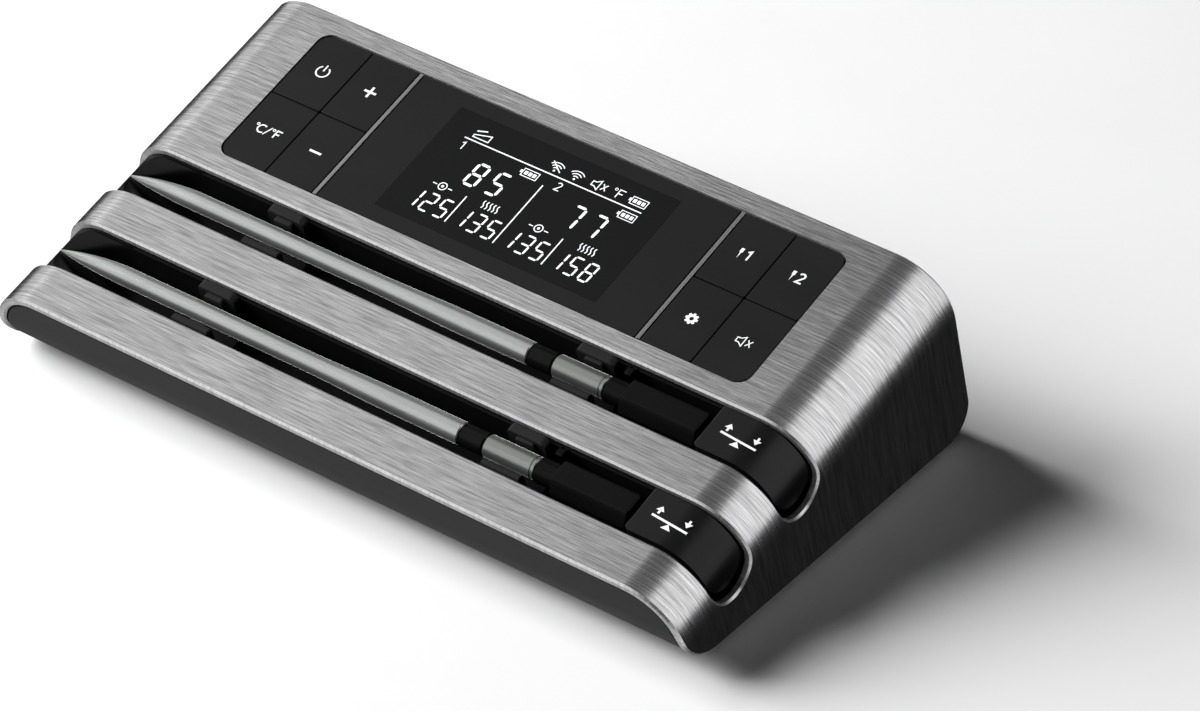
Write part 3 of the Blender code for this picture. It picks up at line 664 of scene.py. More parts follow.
def trough_section(x, centre):
    """One section of the hollow: flares down to a crease, then the trough below it."""
    along = min(max((x - BOAT_TIP) / (BOAT_END - BOAT_TIP), 0.0), 1.0)
    share = smooth(along)
    half = between(TIP_HALF, TRAY_HALF, sin(along * pi / 2) ** 1.25)
    crease = between(-TIP_DEPTH, UNDER - GAP, share)
    straight = between(crease, TRAY_HALF - SLOT_DEPTH, share)
    round_depth = between(TIP_ROUND, TRAY_HALF, share)
    upper, lip, lower = (Vector(point) for point in
                         ((TRAY_HALF, UNDER), (half, crease), (half, straight)))
    start, end = upper.lerp(lip, 0.35), lower.lerp(lip, 0.45)
    brow = [start.lerp(lip, part).lerp(lip.lerp(end, part), part)
            for part in (step / LIP_STEPS for step in range(LIP_STEPS + 1))]
    side = [(TRAY_HALF, 0.001), (TRAY_HALF, UNDER)] + [tuple(point) for point in brow]
    points = [(-v, n) for v, n in side]
    for step in range(TROUGH_ROUND + 1):
        turn = pi * step / TROUGH_ROUND
        points.append((-half * cos(turn), straight - round_depth * sin(turn)))
    return [(x, centre + v, n) for v, n in points + side[::-1]]


def trough(centre):
    """The hollow of a tray: a round-bottomed trough with a boat-shaped left end."""
    stations = [-HALF - SHEET, BOAT_TIP - EDGE]
    stations += [between(BOAT_TIP, BOAT_END, step / BOAT_STEPS) for step in range(BOAT_STEPS + 1)]
    stations += [-0.05, 0.0, 0.05, HALF + SHEET]
    return loft([trough_section(x, centre) for x in stations])


def slot_outline(centre, half, depth, top):
    """A round-bottomed section in V and N."""
    return arch(centre + half, centre - half, top, -depth, half * 0.999, half * 0.999)


def end_plug(centre):
    """The tray's left end, which fills the round mouth of the shell's slot."""
    side = arch(PLUG_RECESS - HALF, PLUG_X + SHEET, -SLOT_DEPTH - SHEET, -PLUG_RECESS,
                END_RADIUS - PLUG_RECESS)
    section = slot_outline(centre, SLOT_HALF - GAP, SLOT_DEPTH - GAP, PLUG_TOP)
    return combine(slab("VN", section, -HALF, PLUG_X), across(side, centre, SLOT_HALF),
                   "INTERSECT")


def pin_hole(target, name, centre):
    """Bores the hinge pin's hole across a tray or an end key."""
    pin = f"press_pin_{name}"
    hole = circle(centre_of(pin, 0), centre_of(pin, 2), PIN_HOLE, 24)
    combine(target, across(hole, centre, PIN_REACH))


def tray(name, centre):
    flange, outer = half_of(f"tray_{name}", 1), TRAY_HALF + TRAY_WALL
    side = [(flange, UNDER), (flange, UNDER - TRAY_WALL), (outer, UNDER - TRAY_WALL),
            (outer, -SLOT_DEPTH - TRAY_WALL, 0.0045)]
    made = slab("VN", fillet(mirrored(centre, side), 8), -HALF, HALF)
    combine(made, cavity(), "INTERSECT")
    combine(made, end_plug(centre), "UNION")
    combine(made, trough(centre))
    pin_hole(made, name, centre)
    finish(made, f"trough_{name}", "dock", "black_plastic", [f"tray_{name}"], angle=30)


# ---- clips and contacts ----
CLIP_FLOOR = 0.0020
CHEEK = 0.0021
CHEEK_STEP = 0.0008
PAD_HALF = 0.0025
PAD_LOW = -0.0048
PAD_ROOM = {"left": 0.0027, "right": 0.0031}


def clip(slot, end, centre):
    """A rubber fork: a tall rear cheek, a lower rounded front cheek, a floor and two pads."""
    node = f"clip_{slot}_{end}"
    (low, high), _, (bottom, top) = reach(node)
    half = TRAY_HALF - GAP
    cheek = half - CHEEK
    floor_n, step_n = bottom + CLIP_FLOOR, top - CHEEK_STEP
    section = [(half, top, 0), (half, bottom, 0.0057), (-half, bottom, 0.0057),
               (-half, step_n, 0.0010), (-cheek, step_n, 0.0010), (-cheek, floor_n, 0.0034),
               (cheek, floor_n, 0.0034), (cheek, top, 0.0006)]
    fork = slab("VN", fillet([(centre + v, *rest) for v, *rest in section], 8), low, high)
    tab = fillet([(low, -FAR), (high, -FAR), (high, top, 0.0016), (low, top, 0.0012)], 8)
    combine(fork, across(tab, centre, SLOT_HALF), "INTERSECT")
    round_edges(fork)
    middle = (low + high) / 2
    for side, pad_top in ((-1, -0.0030), (1, -0.0013)):
        v_low, v_high = sorted(centre + side * v for v in (PAD_ROOM[end], cheek + 0.0006))
        pad = rectangle(middle - PAD_HALF, middle + PAD_HALF, PAD_LOW, pad_top, 0.0007, 5)
        combine(fork, slab("XN", pad, v_low, v_high, 0.0003), "UNION")
    finish(fork, f"fork_{slot}_{end}", "dock", "black_rubber", [node], angle=30)


def contact(slot):
    """A plated spring finger at the probe's neck, folded over at its top."""
    node = f"charge_contact_{slot}"
    (low, high), (v_low, v_high), (bottom, top) = reach(node)
    thick, fold = 0.0007, v_low + 0.0005
    outline = fillet([(v_high, bottom), (v_high, top, 0.0008), (v_low, top, 0.0007),
                      (fold, top - 0.0026, 0.0003), (fold + thick, top - 0.0024, 0.0002),
                      (v_low + thick * 1.2, top - thick, 0.0004),
                      (v_high - thick, top - thick, 0.0004), (v_high - thick, bottom)], 6)
    finish(slab("VN", outline, low, high, 0.00012), f"contact_{slot}", "dock", "contact_plate",
           [node])


# ---- printed marks ----
PRINT_HEIGHT = 0.00004
STROKE = 0.00042
THIN = 0.00024
ICON = 0.0016


class Marks:
    """Flat printed shapes, drawn about a movable centre, that end up as one mesh."""

    def __init__(self, x, v, n):
        self.level = n
        self.pieces = []
        self.at(x, v)

    def at(self, x, v, slant=0.0):
        """Moves the centre and sets how far upright lines lean to the right."""
        self.centre = (x, v)
        self.slant = slant
        return self

    def area(self, outline, *holes):
        x, v = self.centre
        loops = [[(x + a + self.slant * b, v + b) for a, b in loop] for loop in (outline, *holes)]
        self.pieces.append(slab("XV", loops[0], self.level, self.level + PRINT_HEIGHT, 0,
                                loops[1:]))

    def line(self, points, width=STROKE, closed=False):
        """A stroke of even width through points, with square ends and mitred corners."""
        path = [Vector(point) for point in points]
        left, right = [], []
        for index, here in enumerate(path):
            ways = []
            if index or closed:
                ways.append((here - path[index - 1]).normalized())
            if index + 1 < len(path) or closed:
                ways.append((path[(index + 1) % len(path)] - here).normalized())
            along = sum(ways, Vector((0, 0))).normalized()
            out = Vector((-along.y, along.x)) * width / 2 / max(0.35, along.dot(ways[0]))
            left.append(tuple(here + out))
            right.append(tuple(here - out))
        if closed:
            self.area(*sorted((left, right), key=loop_size, reverse=True))
        else:
            self.area(left + right[::-1])

    def ring(self, radius, a=0.0, b=0.0, width=STROKE):
        self.area(circle(a, b, radius + width / 2, 28), circle(a, b, radius - width / 2, 28))

    def done(self, name, body, look):
        """Joins all shapes into one piece."""
        shape = bmesh.new()
        for piece in self.pieces:
            shape.from_mesh(piece.data)
            bpy.data.objects.remove(piece)
        finish(from_shape(shape), name, body, look)


def loop_size(loop):
    return sum(dist(one, two) for one, two in zip(loop, loop[1:]))


def scaled(size, points, a=0.0):
    """Points of a sign drawn about its middle, scaled, and moved along by a."""
    return [(a + size * x, size * y) for x, y in points]


def power_icon(marks):
    marks.line(arc(0, 0, ICON, 125, 415), STROKE * 0.85)
    marks.line([(0, ICON * 0.1), (0, ICON * 1.3)], STROKE * 0.85)


def plus_icon(marks, bar=STROKE * 0.7):
    marks.area([(x * a - y * b, y * a + x * b) for x, y in ((1, 0), (0, 1), (-1, 0), (0, -1))
                for a, b in ((-ICON, -bar), (-bar, -bar), (-bar, -ICON))])


def minus_icon(marks, bar=STROKE * 0.7):
    marks.area(rectangle(-ICON, ICON, -bar, bar))


def degree(marks, a, letter, size=0.0011, width=STROKE * 0.9):
    """A degree ring and the letter of one temperature scale."""
    marks.ring(size * 0.26, a - size * 0.62, size * 0.8, width * 0.6)
    if letter == "C":
        marks.line(arc(a + size * 0.85, 0, size, 50, 310), width)
    else:
        low = a + size * 0.15
        marks.line(scaled(size, [(0, -1), (0, 1), (1.25, 1)], low), width)
        marks.line(scaled(size, [(0, 0.05), (1, 0.05)], low), width)


def units_icon(marks):
    degree(marks, -0.0026, "C")
    marks.line([(-0.0006, -0.0013), (0.0005, 0.0013)], STROKE * 0.7)
    degree(marks, 0.0019, "F")


def numeral(marks, number, size, width, a=0.0):
    """A plain 1 or 2, drawn with strokes."""
    shapes = {1: [(-0.45, 0.6), (0.1, 1), (0.1, -1)],
              2: arc(0, 0.5, 0.5, 160, -40, 14) + [(-0.5, -1), (0.6, -1)]}
    marks.line(scaled(size, shapes[number], a), width)


def probe_icon(marks, number, size=0.0013):
    """A small probe and its number."""
    middle = -1.05
    marks.area(scaled(size, [(-1.35, 1), (-1.35, 0.2), (middle - 0.12, 0), (middle, -1.3),
                             (middle + 0.12, 0), (-0.75, 0.2), (-0.75, 1)]))
    numeral(marks, number, size, STROKE, size * 0.6)


def settings_icon(marks, size=0.00122, teeth=8):
    rim = []
    for tooth in range(teeth):
        for offset, radius in ((-0.34, 1.0), (-0.22, 1.28), (0.22, 1.28), (0.34, 1.0)):
            turn = 2 * pi * (tooth + offset) / teeth
            rim.append((radius * cos(turn), radius * sin(turn)))
    marks.area(scaled(size, rim), circle(0, 0, size * 0.42, 24))


def mute_icon(marks, size=0.00115, width=STROKE * 0.6):
    marks.line(scaled(size, [(-1.6, -0.5), (-0.9, -0.5), (0, -1.15), (0, 1.15), (-0.9, 0.5),
                             (-1.6, 0.5)]), width, True)
    for lean in (-0.75, 0.75):
        marks.line(scaled(size, [(0.65, -lean), (1.65, lean)]), width)


# ---- control panel ----
KEY_ICONS = {
    "power": power_icon, "plus": plus_icon, "units": units_icon, "minus": minus_icon,
    "probe_one": lambda marks: probe_icon(marks, 1),
    "probe_two": lambda marks: probe_icon(marks, 2),
    "settings": settings_icon, "mute": mute_icon,
}
CAP_THICK = 0.0012
PLUNGER_RADIUS = 0.0022


def key_cap(name, draw_icon):
    """A flat key with softened edges, its plunger, and its printed mark."""
    node = f"key_{name}"
    (x_low, x_high), (v_low, v_high), (low, top) = reach(node)
    corners = []
    for x, v in ((x_low, v_low), (x_high, v_low), (x_high, v_high), (x_low, v_high)):
        at_corner = abs(x) > PANEL_HALF - 2 * GAP and not 2 * GAP <= v <= PANEL_DEPTH - 2 * GAP
        corners.append((x, v, PANEL_RADIUS if at_corner else EDGE))
    cap = slab("XV", fillet(corners, 8), top - CAP_THICK, top, SMALL_RIM)
    middle = ((x_low + x_high) / 2, (v_low + v_high) / 2)
    plunger = slab("XV", circle(*middle, PLUNGER_RADIUS), low, top - CAP_THICK / 2)
    finish(combine(cap, plunger, "UNION"), f"cap_{name}", node, "key_plastic", [node])
    marks = Marks(*middle, top)
    draw_icon(marks)
    marks.done(f"mark_{name}", node, "white_print")


def panel():
    """The glass, the two trims, the eight keys and the lit screen."""
    for node, name, look, corner, rim in (
            ("display_lens", "lens_plate", "display", EDGE, SMALL_RIM),
            ("divider_left", "trim_left", "silver_trim", 0, 0.00012),
            ("divider_right", "trim_right", "silver_trim", 0, 0.00012)):
        (x_low, x_high), (v_low, v_high), (low, top) = reach(node)
        outline = rectangle(x_low, x_high, v_low, v_high, corner, 4)
        finish(slab("XV", outline, low, top, rim), name, "dock", look, [node])
    for name, draw_icon in KEY_ICONS.items():
        key_cap(name, draw_icon)
    screen()


# ---- display ----
WINDOW_INSET = 0.0014
MIDDLE = 0.0002
COLUMN = 0.0131
RULE = THIN * 1.2
RULE_HALF = 0.0240
RULE_DROP = 0.0070
ROW_STEP = 0.0022
BASE_RISE = 0.0035
BATTERY_INSET = 0.0070
SEGMENT_SLANT = 0.06
SEGMENTS = {"1": "bc", "2": "abged", "3": "abgcd", "5": "afgcd", "7": "abc", "8": "abcdefg"}
# Each bar's column, its half rows above the foot, and whether it stands upright
BARS = {"a": (0, 2, 0), "b": (1, 1, 1), "c": (1, 0, 1), "d": (0, 0, 0), "e": (0, 0, 1),
        "f": (0, 1, 1), "g": (0, 1, 0)}
BIG = {"width": 0.00285, "height": 0.00635, "pitch": 0.0058, "thick": 0.00066}
SMALL = {"width": 0.0023, "height": 0.00515, "pitch": 0.0039, "thick": 0.00046}


def number(marks, text, width, height, pitch, thick):
    """Seven-segment figures set from right to left, to line up at their right edge."""
    half, slim = thick / 2, thick * 0.3
    for place, figure in enumerate(reversed(text)):
        for letter in SEGMENTS[figure]:
            column, row, upright = BARS[letter]
            length = height / 2 if upright else width
            shape = [(slim, 0), (half + slim, half), (length - half - slim, half),
                     (length - slim, 0), (length - half - slim, -half), (half + slim, -half)]
            if upright:
                shape = [(-side, along) for along, side in shape]
            left, low = (column - 1) * width - place * pitch, row * height / 2
            marks.area([(left + p, low + q) for p, q in shape])


def battery_icon(marks, width=0.0046, height=0.0021, step=0.0011):
    """A full cell lying down, its terminal at the left."""
    marks.area(rectangle(0, 0.0004, -height * 0.2, height * 0.2))
    marks.line(rectangle(0.0006, width, -height / 2, height / 2), THIN * 0.8, True)
    for cell in (1, 2, 3):
        marks.area(rectangle(cell * step, cell * step + 0.0008, -height * 0.24, height * 0.24))


def wifi_icon(marks, size=0.0022, struck=False):
    marks.area(circle(0, -size * 0.5, size * 0.12, 16))
    for share in (0.4, 0.74, 1.08):
        marks.line(arc(0, -size * 0.5, size * share, 42, 138, 10), THIN)
    if struck:
        marks.line(scaled(size, [(-0.75, 0.6), (0.7, -0.5)]), THIN)


def dock_icon(marks, size=0.0013):
    """The dock seen from its end, with a probe above it."""
    marks.line(scaled(size, [(-1.6, -1), (-1.6, -0.5), (1.6, 0.4), (1.6, -1)]), THIN, True)
    marks.line(scaled(size, [(-1.6, 0.35), (0.2, 1)]), THIN * 1.4)


def target_icon(marks, size=0.0010):
    """A ring and dot between two marks of a scale."""
    marks.ring(size, 0, 0, THIN)
    marks.area(circle(0, 0, size * 0.34, 16))
    for side in (-size, size):
        marks.line(scaled(side, [(1.5, 0), (2.6, 0)]), THIN)


def ambient_icon(marks, size=0.0011):
    """Rising waves of warm air."""
    for wave in range(-2, 3):
        marks.line(scaled(size, [(0.85 * wave + 0.2 * sin(step * 0.9), 2 * step / 7 - 1)
                                 for step in range(8)]), THIN)


def header(marks, v):
    """The row of signs above the rule."""
    dock_icon(marks.at(MIDDLE - 0.0205, v))
    wifi_icon(marks.at(MIDDLE - 0.0004, v), struck=True)
    wifi_icon(marks.at(MIDDLE + 0.0050, v))
    mute_icon(marks.at(MIDDLE + 0.0111, v), 0.00118, THIN)
    degree(marks.at(MIDDLE + 0.0159, v), 0, "F", 0.0012, THIN)
    battery_icon(marks.at(MIDDLE + 2 * COLUMN - BATTERY_INSET, v))


def half_screen(marks, start, index, reading, target, ambient, rule_v, base):
    """One probe's half of the screen, its left edge at start."""
    end, sign_v = start + 2 * COLUMN, base + 0.0078
    numeral(marks.at(start + 0.0033, rule_v - ROW_STEP), index, 0.0011, THIN)
    battery_icon(marks.at(end - BATTERY_INSET, rule_v - ROW_STEP))
    marks.at(start + COLUMN, base).line([(0, -GAP), (0, 0.0079)], RULE)
    target_icon(marks.at(start + COLUMN * 0.5, sign_v))
    ambient_icon(marks.at(start + COLUMN * 1.5, sign_v))
    for text, right, low, sizes in ((reading, end - 0.0078, base + 0.0108, BIG),
                                    (target, start + COLUMN - 0.0015, base, SMALL),
                                    (ambient, end - 0.0015, base, SMALL)):
        number(marks.at(right, low, SEGMENT_SLANT), text, **sizes)


def screen():
    """The darker window in the lens, and everything lit on it."""
    (x_low, x_high), (v_low, v_high), _ = reach("lcd_module")
    top = reach("display_lens")[2][1]
    x_low, v_low = x_low + WINDOW_INSET, v_low + WINDOW_INSET
    x_high, v_high = x_high - WINDOW_INSET, v_high - WINDOW_INSET
    window = slab("XV", rectangle(x_low, x_high, v_low, v_high, GAP, 4), top, top + PRINT_HEIGHT)
    finish(window, "screen_window", "dock", "display_window")
    marks = Marks(0, 0, top + PRINT_HEIGHT)
    rule_v = v_high - RULE_DROP
    base = v_low + BASE_RISE
    marks.line([(MIDDLE - RULE_HALF, rule_v), (MIDDLE + RULE_HALF, rule_v)], RULE)
    marks.line([(MIDDLE, base - GAP), (MIDDLE, rule_v - RULE_DROP / 2)], RULE)
    header(marks, rule_v + 0.0023)
    half_screen(marks, MIDDLE - 2 * COLUMN, 1, "85", "125", "135", rule_v, base)
    half_screen(marks, MIDDLE, 2, "77", "135", "158", rule_v, base)
    marks.done("screen_marks", "dock", "lit_segments")


# ---- end keys ----
TONGUE_LENGTH = 0.0076
TONGUE_HALF = 0.0030
TONGUE_LOW, TONGUE_TOP = -0.0106, -0.0094
SPRING_X = 0.0840
SPRING_ROOM = 0.0031
SPRING_TOP = -0.0066
PRESS_MARK = 0.0082
ROCKER_HALF = 0.0047


def press_key(name, centre):
    """A rocking key: round-bottomed, bent down at its outer end, with a tongue inwards."""
    node = f"press_key_{name}"
    (x_inner, x_high), (v_low, v_high), (bottom, top) = reach(node)
    x_low = x_inner + TONGUE_LENGTH
    half = half_of(node, 1)
    key = slab("VN", slot_outline(centre, half, -bottom, top), x_low, x_high)
    side = arch(x_low, x_high, -FAR, top, 0.0006, END_RADIUS - SHEET)
    combine(key, across(side, centre, 2 * half), "INTERSECT")
    plan = fillet([(x_low, v_low, 0.0016), (HALF, v_low), (HALF, v_high), (x_low, v_high, 0.0006)])
    combine(key, slab("XV", plan, -0.03, 0.01), "INTERSECT")
    round_edges(key, 40)
    tongue = arch(x_inner, x_low + 0.0014, TONGUE_LOW, TONGUE_TOP, 0.0004, 0, 5)
    combine(key, across(tongue, centre, TONGUE_HALF, 0.0002), "UNION")
    combine(key, slab("XV", circle(SPRING_X, centre, SPRING_ROOM), -0.02, SPRING_TOP))
    pin_hole(key, name, centre)
    # The rocker takes the darker copy of the key plastic, a painted shade
    finish(key, f"rocker_{name}", node, "shaded_key_plastic", [node], "key_plastic", angle=30)
    marks = Marks(x_low + PRESS_MARK, centre, top)
    press_icon(marks)
    marks.done(f"rocker_mark_{name}", node, "white_print")


def press_icon(marks, bold=STROKE * 1.25):
    """A rocker on its pivot: its right end is pressed down and its left end comes up."""
    marks.line([(-ROCKER_HALF, -0.0001), (ROCKER_HALF, -0.0009)], bold)
    marks.area([(-0.0012, -0.0022), (0.0012, -0.0022), (0, -0.0008)])
    for side, tip, tail in ((-1, 0.0026, 0.0006), (1, 0.0002, 0.0022)):
        a = side * ROCKER_HALF * 0.78
        neck = between(tip, tail, 0.6)
        marks.line([(a, tail), (a, neck)], bold)
        marks.area([(a - 0.0010, neck), (a + 0.0010, neck), (a, tip)])


# ---- probes ----
POINT_LENGTH = 0.021
POINT_STEPS = 26
POINT_DROP = 0.0016
SHANK_RADIUS = 0.0022
SWELL_START = -0.020
SWELL_LENGTH = 0.028
SOFT = 0.0002
NECK_LENGTH = 0.0050
NECK_RADIUS = 0.0029
GRIP_FLAT = 0.0025
PROBE_STEPS = 56


def needle(name):
    """Sections along the needle: a long low point, a slim shank and a thicker root."""
    node = f"probe_{name}_needle"
    tip, root = reach(node)[0]
    thick, centre = half_of(node, 1), centre_of(node, 1)
    stations = [tip + POINT_LENGTH * (step / POINT_STEPS) ** 1.6
                for step in range(1, POINT_STEPS + 1)]
    stations += [-0.045] + [SWELL_START + SWELL_LENGTH * step / 12 for step in range(13)]
    stations += [root - 0.0003, root]
    loops = [[(tip, centre, PROBE_N - POINT_DROP)]]
    for x in stations:
        share = min((x - tip) / POINT_LENGTH, 1)
        radius = SHANK_RADIUS * sin(share * pi / 2) ** 0.8
        radius += (thick - SHANK_RADIUS) * smooth((x - SWELL_START) / SWELL_LENGTH)
        if x == root:
            radius -= SOFT
        middle_n = PROBE_N - POINT_DROP * max(0.0, 1 - share) ** 1.6
        loops.append([(x, v, n) for v, n in circle(centre, middle_n, radius, PROBE_STEPS)])
    return loft(loops)


def sleeve(centre, profile):
    """A profile of (radius, X) turned about a probe's axis."""
    turn = Matrix.Translation((0, centre, PROBE_N)) @ Matrix.Rotation(pi / 2, 4, "Y")
    return turned(profile, turn, PROBE_STEPS)


def probe(name, centre):
    body = f"probe_{name}"
    finish(needle(name), f"{body}_rod", body, "probe_steel", [f"{body}_needle"], angle=30)
    # The collar takes the darker copy of the rod's steel, a painted shade
    for part, look, slot in (("band", "band_ceramic", "band_ceramic"),
                             ("collar", "shaded_collar_steel", "probe_steel")):
        node = f"{body}_{part}"
        low, high = reach(node)[0]
        radius = half_of(node, 1)
        inner = radius - SOFT
        profile = [(0, low), (inner, low), (radius, low + SOFT)]
        if part == "collar":
            seam = high - 0.0012
            profile += [(radius, seam), (inner, seam + 0.0001), (inner, seam + 0.0003),
                        (radius, seam + 0.0004)]
        profile += [(radius, high - SOFT), (inner, high), (0, high)]
        finish(sleeve(centre, profile), f"{node}_turned", body, look, [node], slot)
    handle(centre, body)


def handle(centre, body):
    """The six-sided grip, softened along its edges, with a round neck."""
    node = f"{body}_handle"
    neck_start, end = reach(node)[0]
    start = neck_start + NECK_LENGTH
    wide, high, corner = half_of(node, 1), half_of(node, 2), 0.0007
    side = [(-GRIP_FLAT, PROBE_N + high, corner), (-wide, PROBE_N, corner),
            (-GRIP_FLAT, PROBE_N - high, corner)]
    grip = slab("VN", fillet(mirrored(centre, side), 5), start, end, 0.0005)
    inside = start + 0.0020
    neck = sleeve(centre, [(0, neck_start), (NECK_RADIUS - SOFT, neck_start),
                           (NECK_RADIUS, neck_start + SOFT), (NECK_RADIUS, inside), (0, inside)])
    combine(grip, neck, "UNION")
    finish(grip, f"{body}_grip", body, "handle_plastic", [node], angle=28)


# ---- underside, screws and socket ----
FOOT_RECESS = (0.0063, 0.0022)
SCREW_RECESS = (0.0032, 0.00275)
SHANK_ROOM = 0.0018
THREAD_PITCH = 0.0005
SOCKET_DEPTH = 0.0006


def place_of(node):
    """Middle X and Y, half width, and low and high Z of an upright CAD node in the world."""
    low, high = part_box(node)
    return (low.x + high.x) / 2, (low.y + high.y) / 2, (high.x - low.x) / 2, low.z, high.z


def base():
    low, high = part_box("base_cover")
    plate = slab("XV", rectangle(low.x, high.x, low.y, high.y, 0.0006, 4), low.z, high.z, 0.0003)
    for index in range(1, 5):
        for node, (radius, depth) in (("foot", FOOT_RECESS), ("base_screw", SCREW_RECESS)):
            x, y, *_ = place_of(f"{node}_{index}")
            combine(plate, slab("XV", circle(x, y, radius), 0, depth))
        combine(plate, slab("XV", circle(x, y, SHANK_ROOM, 24), 0, 0.006))
    finish(plate, "base_plate", "dock", "dark_plastic", ["base_cover"], in_deck=False)


def foot(index):
    """A rubber foot with three grooves in its sole."""
    x, y, radius, low, high = place_of(f"foot_{index}")
    tall = high - low
    profile = [(0, tall), (radius - 0.0003, tall), (radius, tall - 0.0003),
               (radius, 0.0005), (radius - 0.0002, 0.0002), (radius - 0.0005, 0)]
    for ring in range(3):
        edge = radius * (0.78 - 0.24 * ring)
        profile += [(edge, 0), (edge - 0.0002, 0.0003), (edge - 0.0006, 0.0003),
                    (edge - 0.0008, 0)]
    made = turned(profile + [(0, 0)], Matrix.Translation((x, y, low)))
    finish(made, f"foot_pad_{index}", "dock", "black_rubber", [f"foot_{index}"], in_deck=False)


def screw(name, node, place, point, thread, head, key, steps, **settings):
    """A screw, point upwards, with a thread, a head of (share, rise) points and a hex socket."""
    x, y, radius, low, high = place
    tip, slope = point
    outer, root, turns = thread
    profile = [(0, high), (tip, high), (outer, high - slope)]
    for turn in range(turns):
        level = high - slope - 0.0002 - THREAD_PITCH * turn
        profile += [(outer, level), (root, level - THREAD_PITCH / 2)]
    profile.append((outer, low + head[0][1]))
    profile += [(radius * share, low + rise) for share, rise in head]
    made = turned(profile + [(0, low)], Matrix.Translation((x, y, 0)), steps)
    combine(made, slab("XV", circle(x, y, key, 6), low - 0.001, low + SOCKET_DEPTH))
    finish(made, name, "dock", "screw_steel", [node], angle=30, **settings)


def base_screw(index):
    node = f"base_screw_{index}"
    screw(f"screw_{index}", node, place_of(node), (0.0010, 0.0008), (0.0014, 0.00115, 9),
          ((1, 0.00095), (1, 0.0004), (0.85, 0.0001), (0.6, 0)), 0.0011, 32, in_deck=False)


def board_screw(index):
    node = f"board_screw_{index}"
    place = (centre_of(node, 0), centre_of(node, 1), half_of(node, 0), *reach(node)[2])
    screw(f"screw_board_{index}", node, place, (0.0006, 0.0006), (0.0010, 0.0008, 6),
          ((1, 0.0011), (1, 0.0004), (0.7, 0)), 0.0009, 28)


def usb_socket():
    """A rolled steel sleeve, the tongue inside it and the block it stands on."""
    (x_low, x_high), (v_low, v_high), (low, high) = reach("usb_socket")
    wall_thick, top, middle = 0.0003, low + 2 * SOCKET_HALF, low + SOCKET_HALF
    made = slab("XN", rectangle(x_low, x_high, low, top, 0.0015, 10), v_low, v_high, 0.0001)
    inside = rectangle(x_low + wall_thick, x_high - wall_thick, low + wall_thick,
                       top - wall_thick, 0.0012, 10)
    tongue = rectangle(-0.0033, 0.0033, middle - 0.00035, middle + 0.00035, 0.0002, 3)
    block = rectangle(-0.0040, 0.0040, low + 0.0026, high)
    combine(made, slab("XN", inside, v_low + 0.0010, v_high + 0.002))
    combine(made, slab("XN", tongue, v_low + 0.0005, v_high - 0.0017, 0.0001), "UNION")
    combine(made, slab("XN", block, v_low, v_low + 0.0040), "UNION")
    finish(made, "socket_sleeve", "dock", "screw_steel", ["usb_socket"], angle=30)


# ---- floor, light and camera ----
SURROUND = 0.006
# Direction, distance, size, brightness. Only shiny surfaces see a card, only matt ones the rest.
LIGHTS = {
    "key": ((-0.79, -0.30, 0.53), 2.6, (1.7, 1.7), 17.5),
    "fill": ((-0.1, -0.7, 0.8), 1.6, (1.2, 1.2), 0.12),
    "deck_card": ((-0.70, -0.06, 0.80), 0.7, (0.62, 0.56), 0.76),
    "top_card": ((0.0, 0.20, 0.97), 0.7, (0.7, 0.7), 0.135),
    "left_card": ((-0.90, 0.32, 0.30), 0.7, (0.5, 0.36), 0.8),
    "needle_card": ((-0.50, -0.83, 0.27), 0.7, (0.8, 0.92), 0.88),
    "floor_card": ((-0.50, -0.34, -0.80), 0.7, (0.9, 0.9), 0.45),
    "end_card": ((0.76, 0.30, 0.47), 0.7, (0.36, 0.88), 1.2),
    "under_card": ((0.70, -0.40, -0.45), 0.7, (0.3, 1.1), 0.9),
}
LENS, SENSOR = 159.07, 36
TARGET = Vector((0.039761, -0.008856, 0.034007))
DISTANCE = 1.11637
AZIMUTH, ELEVATION, ROLL = 35.973, 36.196, 1.0757


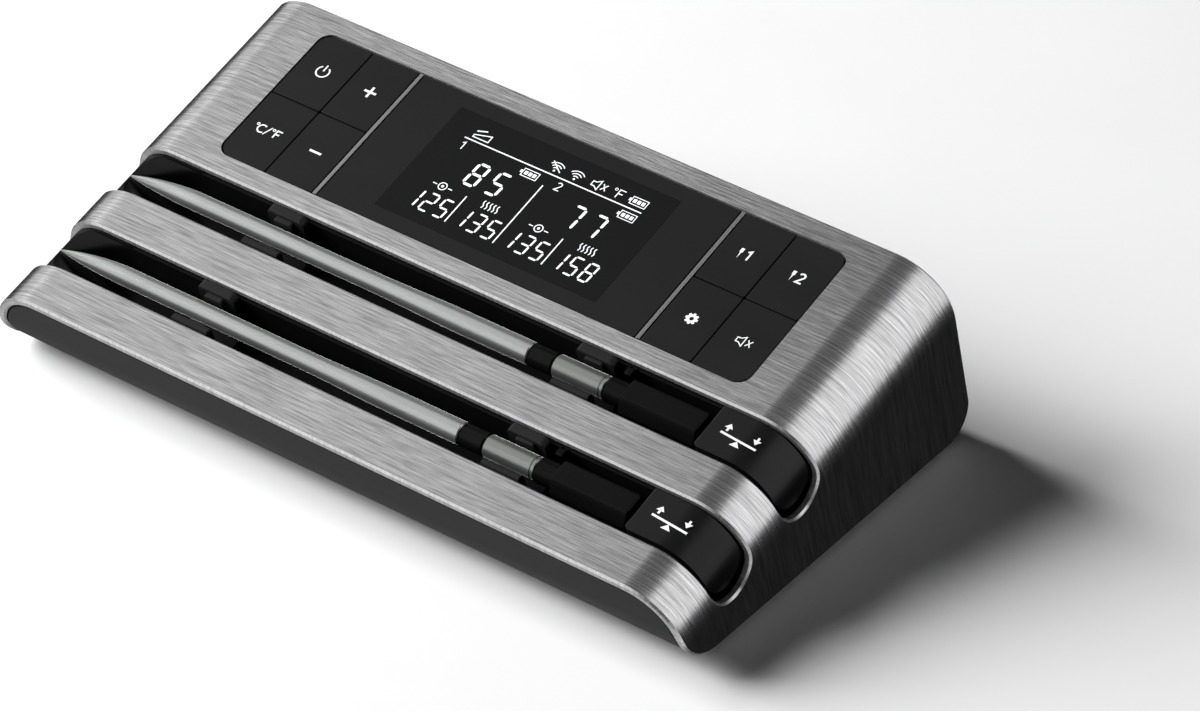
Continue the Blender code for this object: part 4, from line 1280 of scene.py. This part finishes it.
def floor():
    shape = bmesh.new()
    bmesh.ops.create_grid(shape, x_segments=2, y_segments=2, size=3.0)
    made = from_shape(shape)
    made.name = "floor"
    look = Look("floor_paper", (0.91, 0.91, 0.915), 0.7)
    look.colour_by(look.noise((14, 14, 14), 4), 0.985, 1.01)
    look.bump_by(look.noise((900, 900, 900), 2), 0.00003, 0.2)
    made.data.materials.append(look.material)
    made.visible_glossy = False
    made.visible_shadow = False


def lamp(name, direction, distance, size, brightness):
    """A rectangular light facing the dock, given by how bright its face looks."""
    card = name.endswith("card")
    data = bpy.data.lights.new(name, "AREA")
    data.shape = "RECTANGLE"
    data.size, data.size_y = size
    data.energy = brightness * pi * size[0] * size[1]
    made = new_object(name, data)
    made.location = Vector(direction).normalized() * distance
    made.rotation_euler = Vector(direction).to_track_quat("Z", "Y").to_euler()
    made.visible_diffuse = not card
    made.visible_glossy = card


def studio():
    """A dim even surround, a soft key from the left, a faint fill and the cards."""
    world = bpy.data.worlds.new("studio")
    world.use_nodes = True
    fill(world.node_tree.nodes["Background"], {"Color": (1, 1, 1, 1), "Strength": SURROUND})
    bpy.context.scene.world = world
    bpy.context.scene.view_settings.view_transform = "Standard"
    for name, values in LIGHTS.items():
        lamp(name, *values)


def camera():
    """The photo's camera, worked out from the dock's parallel edges."""
    data = bpy.data.cameras.new("camera")
    data.sensor_width = SENSOR
    data.lens = LENS
    made = new_object("camera", data)
    turn = (Matrix.Rotation(radians(AZIMUTH), 4, "Z")
            @ Matrix.Rotation(radians(90 - ELEVATION), 4, "X")
            @ Matrix.Rotation(radians(ROLL), 4, "Z"))
    back = turn.to_3x3() @ Vector((0, 0, DISTANCE))
    made.matrix_world = Matrix.Translation(TARGET + back) @ turn
    bpy.context.scene.camera = made


# ---- the whole object ----
steel_shell()
covers()
for slot_name, slot_v in SLOTS.items():
    tray(slot_name, slot_v)
    for clip_end in ("left", "right"):
        clip(slot_name, clip_end, slot_v)
    contact(slot_name)
    press_key(slot_name, slot_v)
    probe(slot_name, slot_v)
panel()
base()
for place_index in range(1, 5):
    foot(place_index)
    base_screw(place_index)
usb_socket()
for place_index in range(1, 5):
    board_screw(place_index)
floor()
studio()
camera()

for look_name, cad_nodes in CAD_LOOKS.items():
    for cad_node in cad_nodes:
        cad_mesh = frame["nodes"][cad_node].data
        cad_mesh.materials.clear()
        cad_mesh.materials.append(LOOKS[look_name])
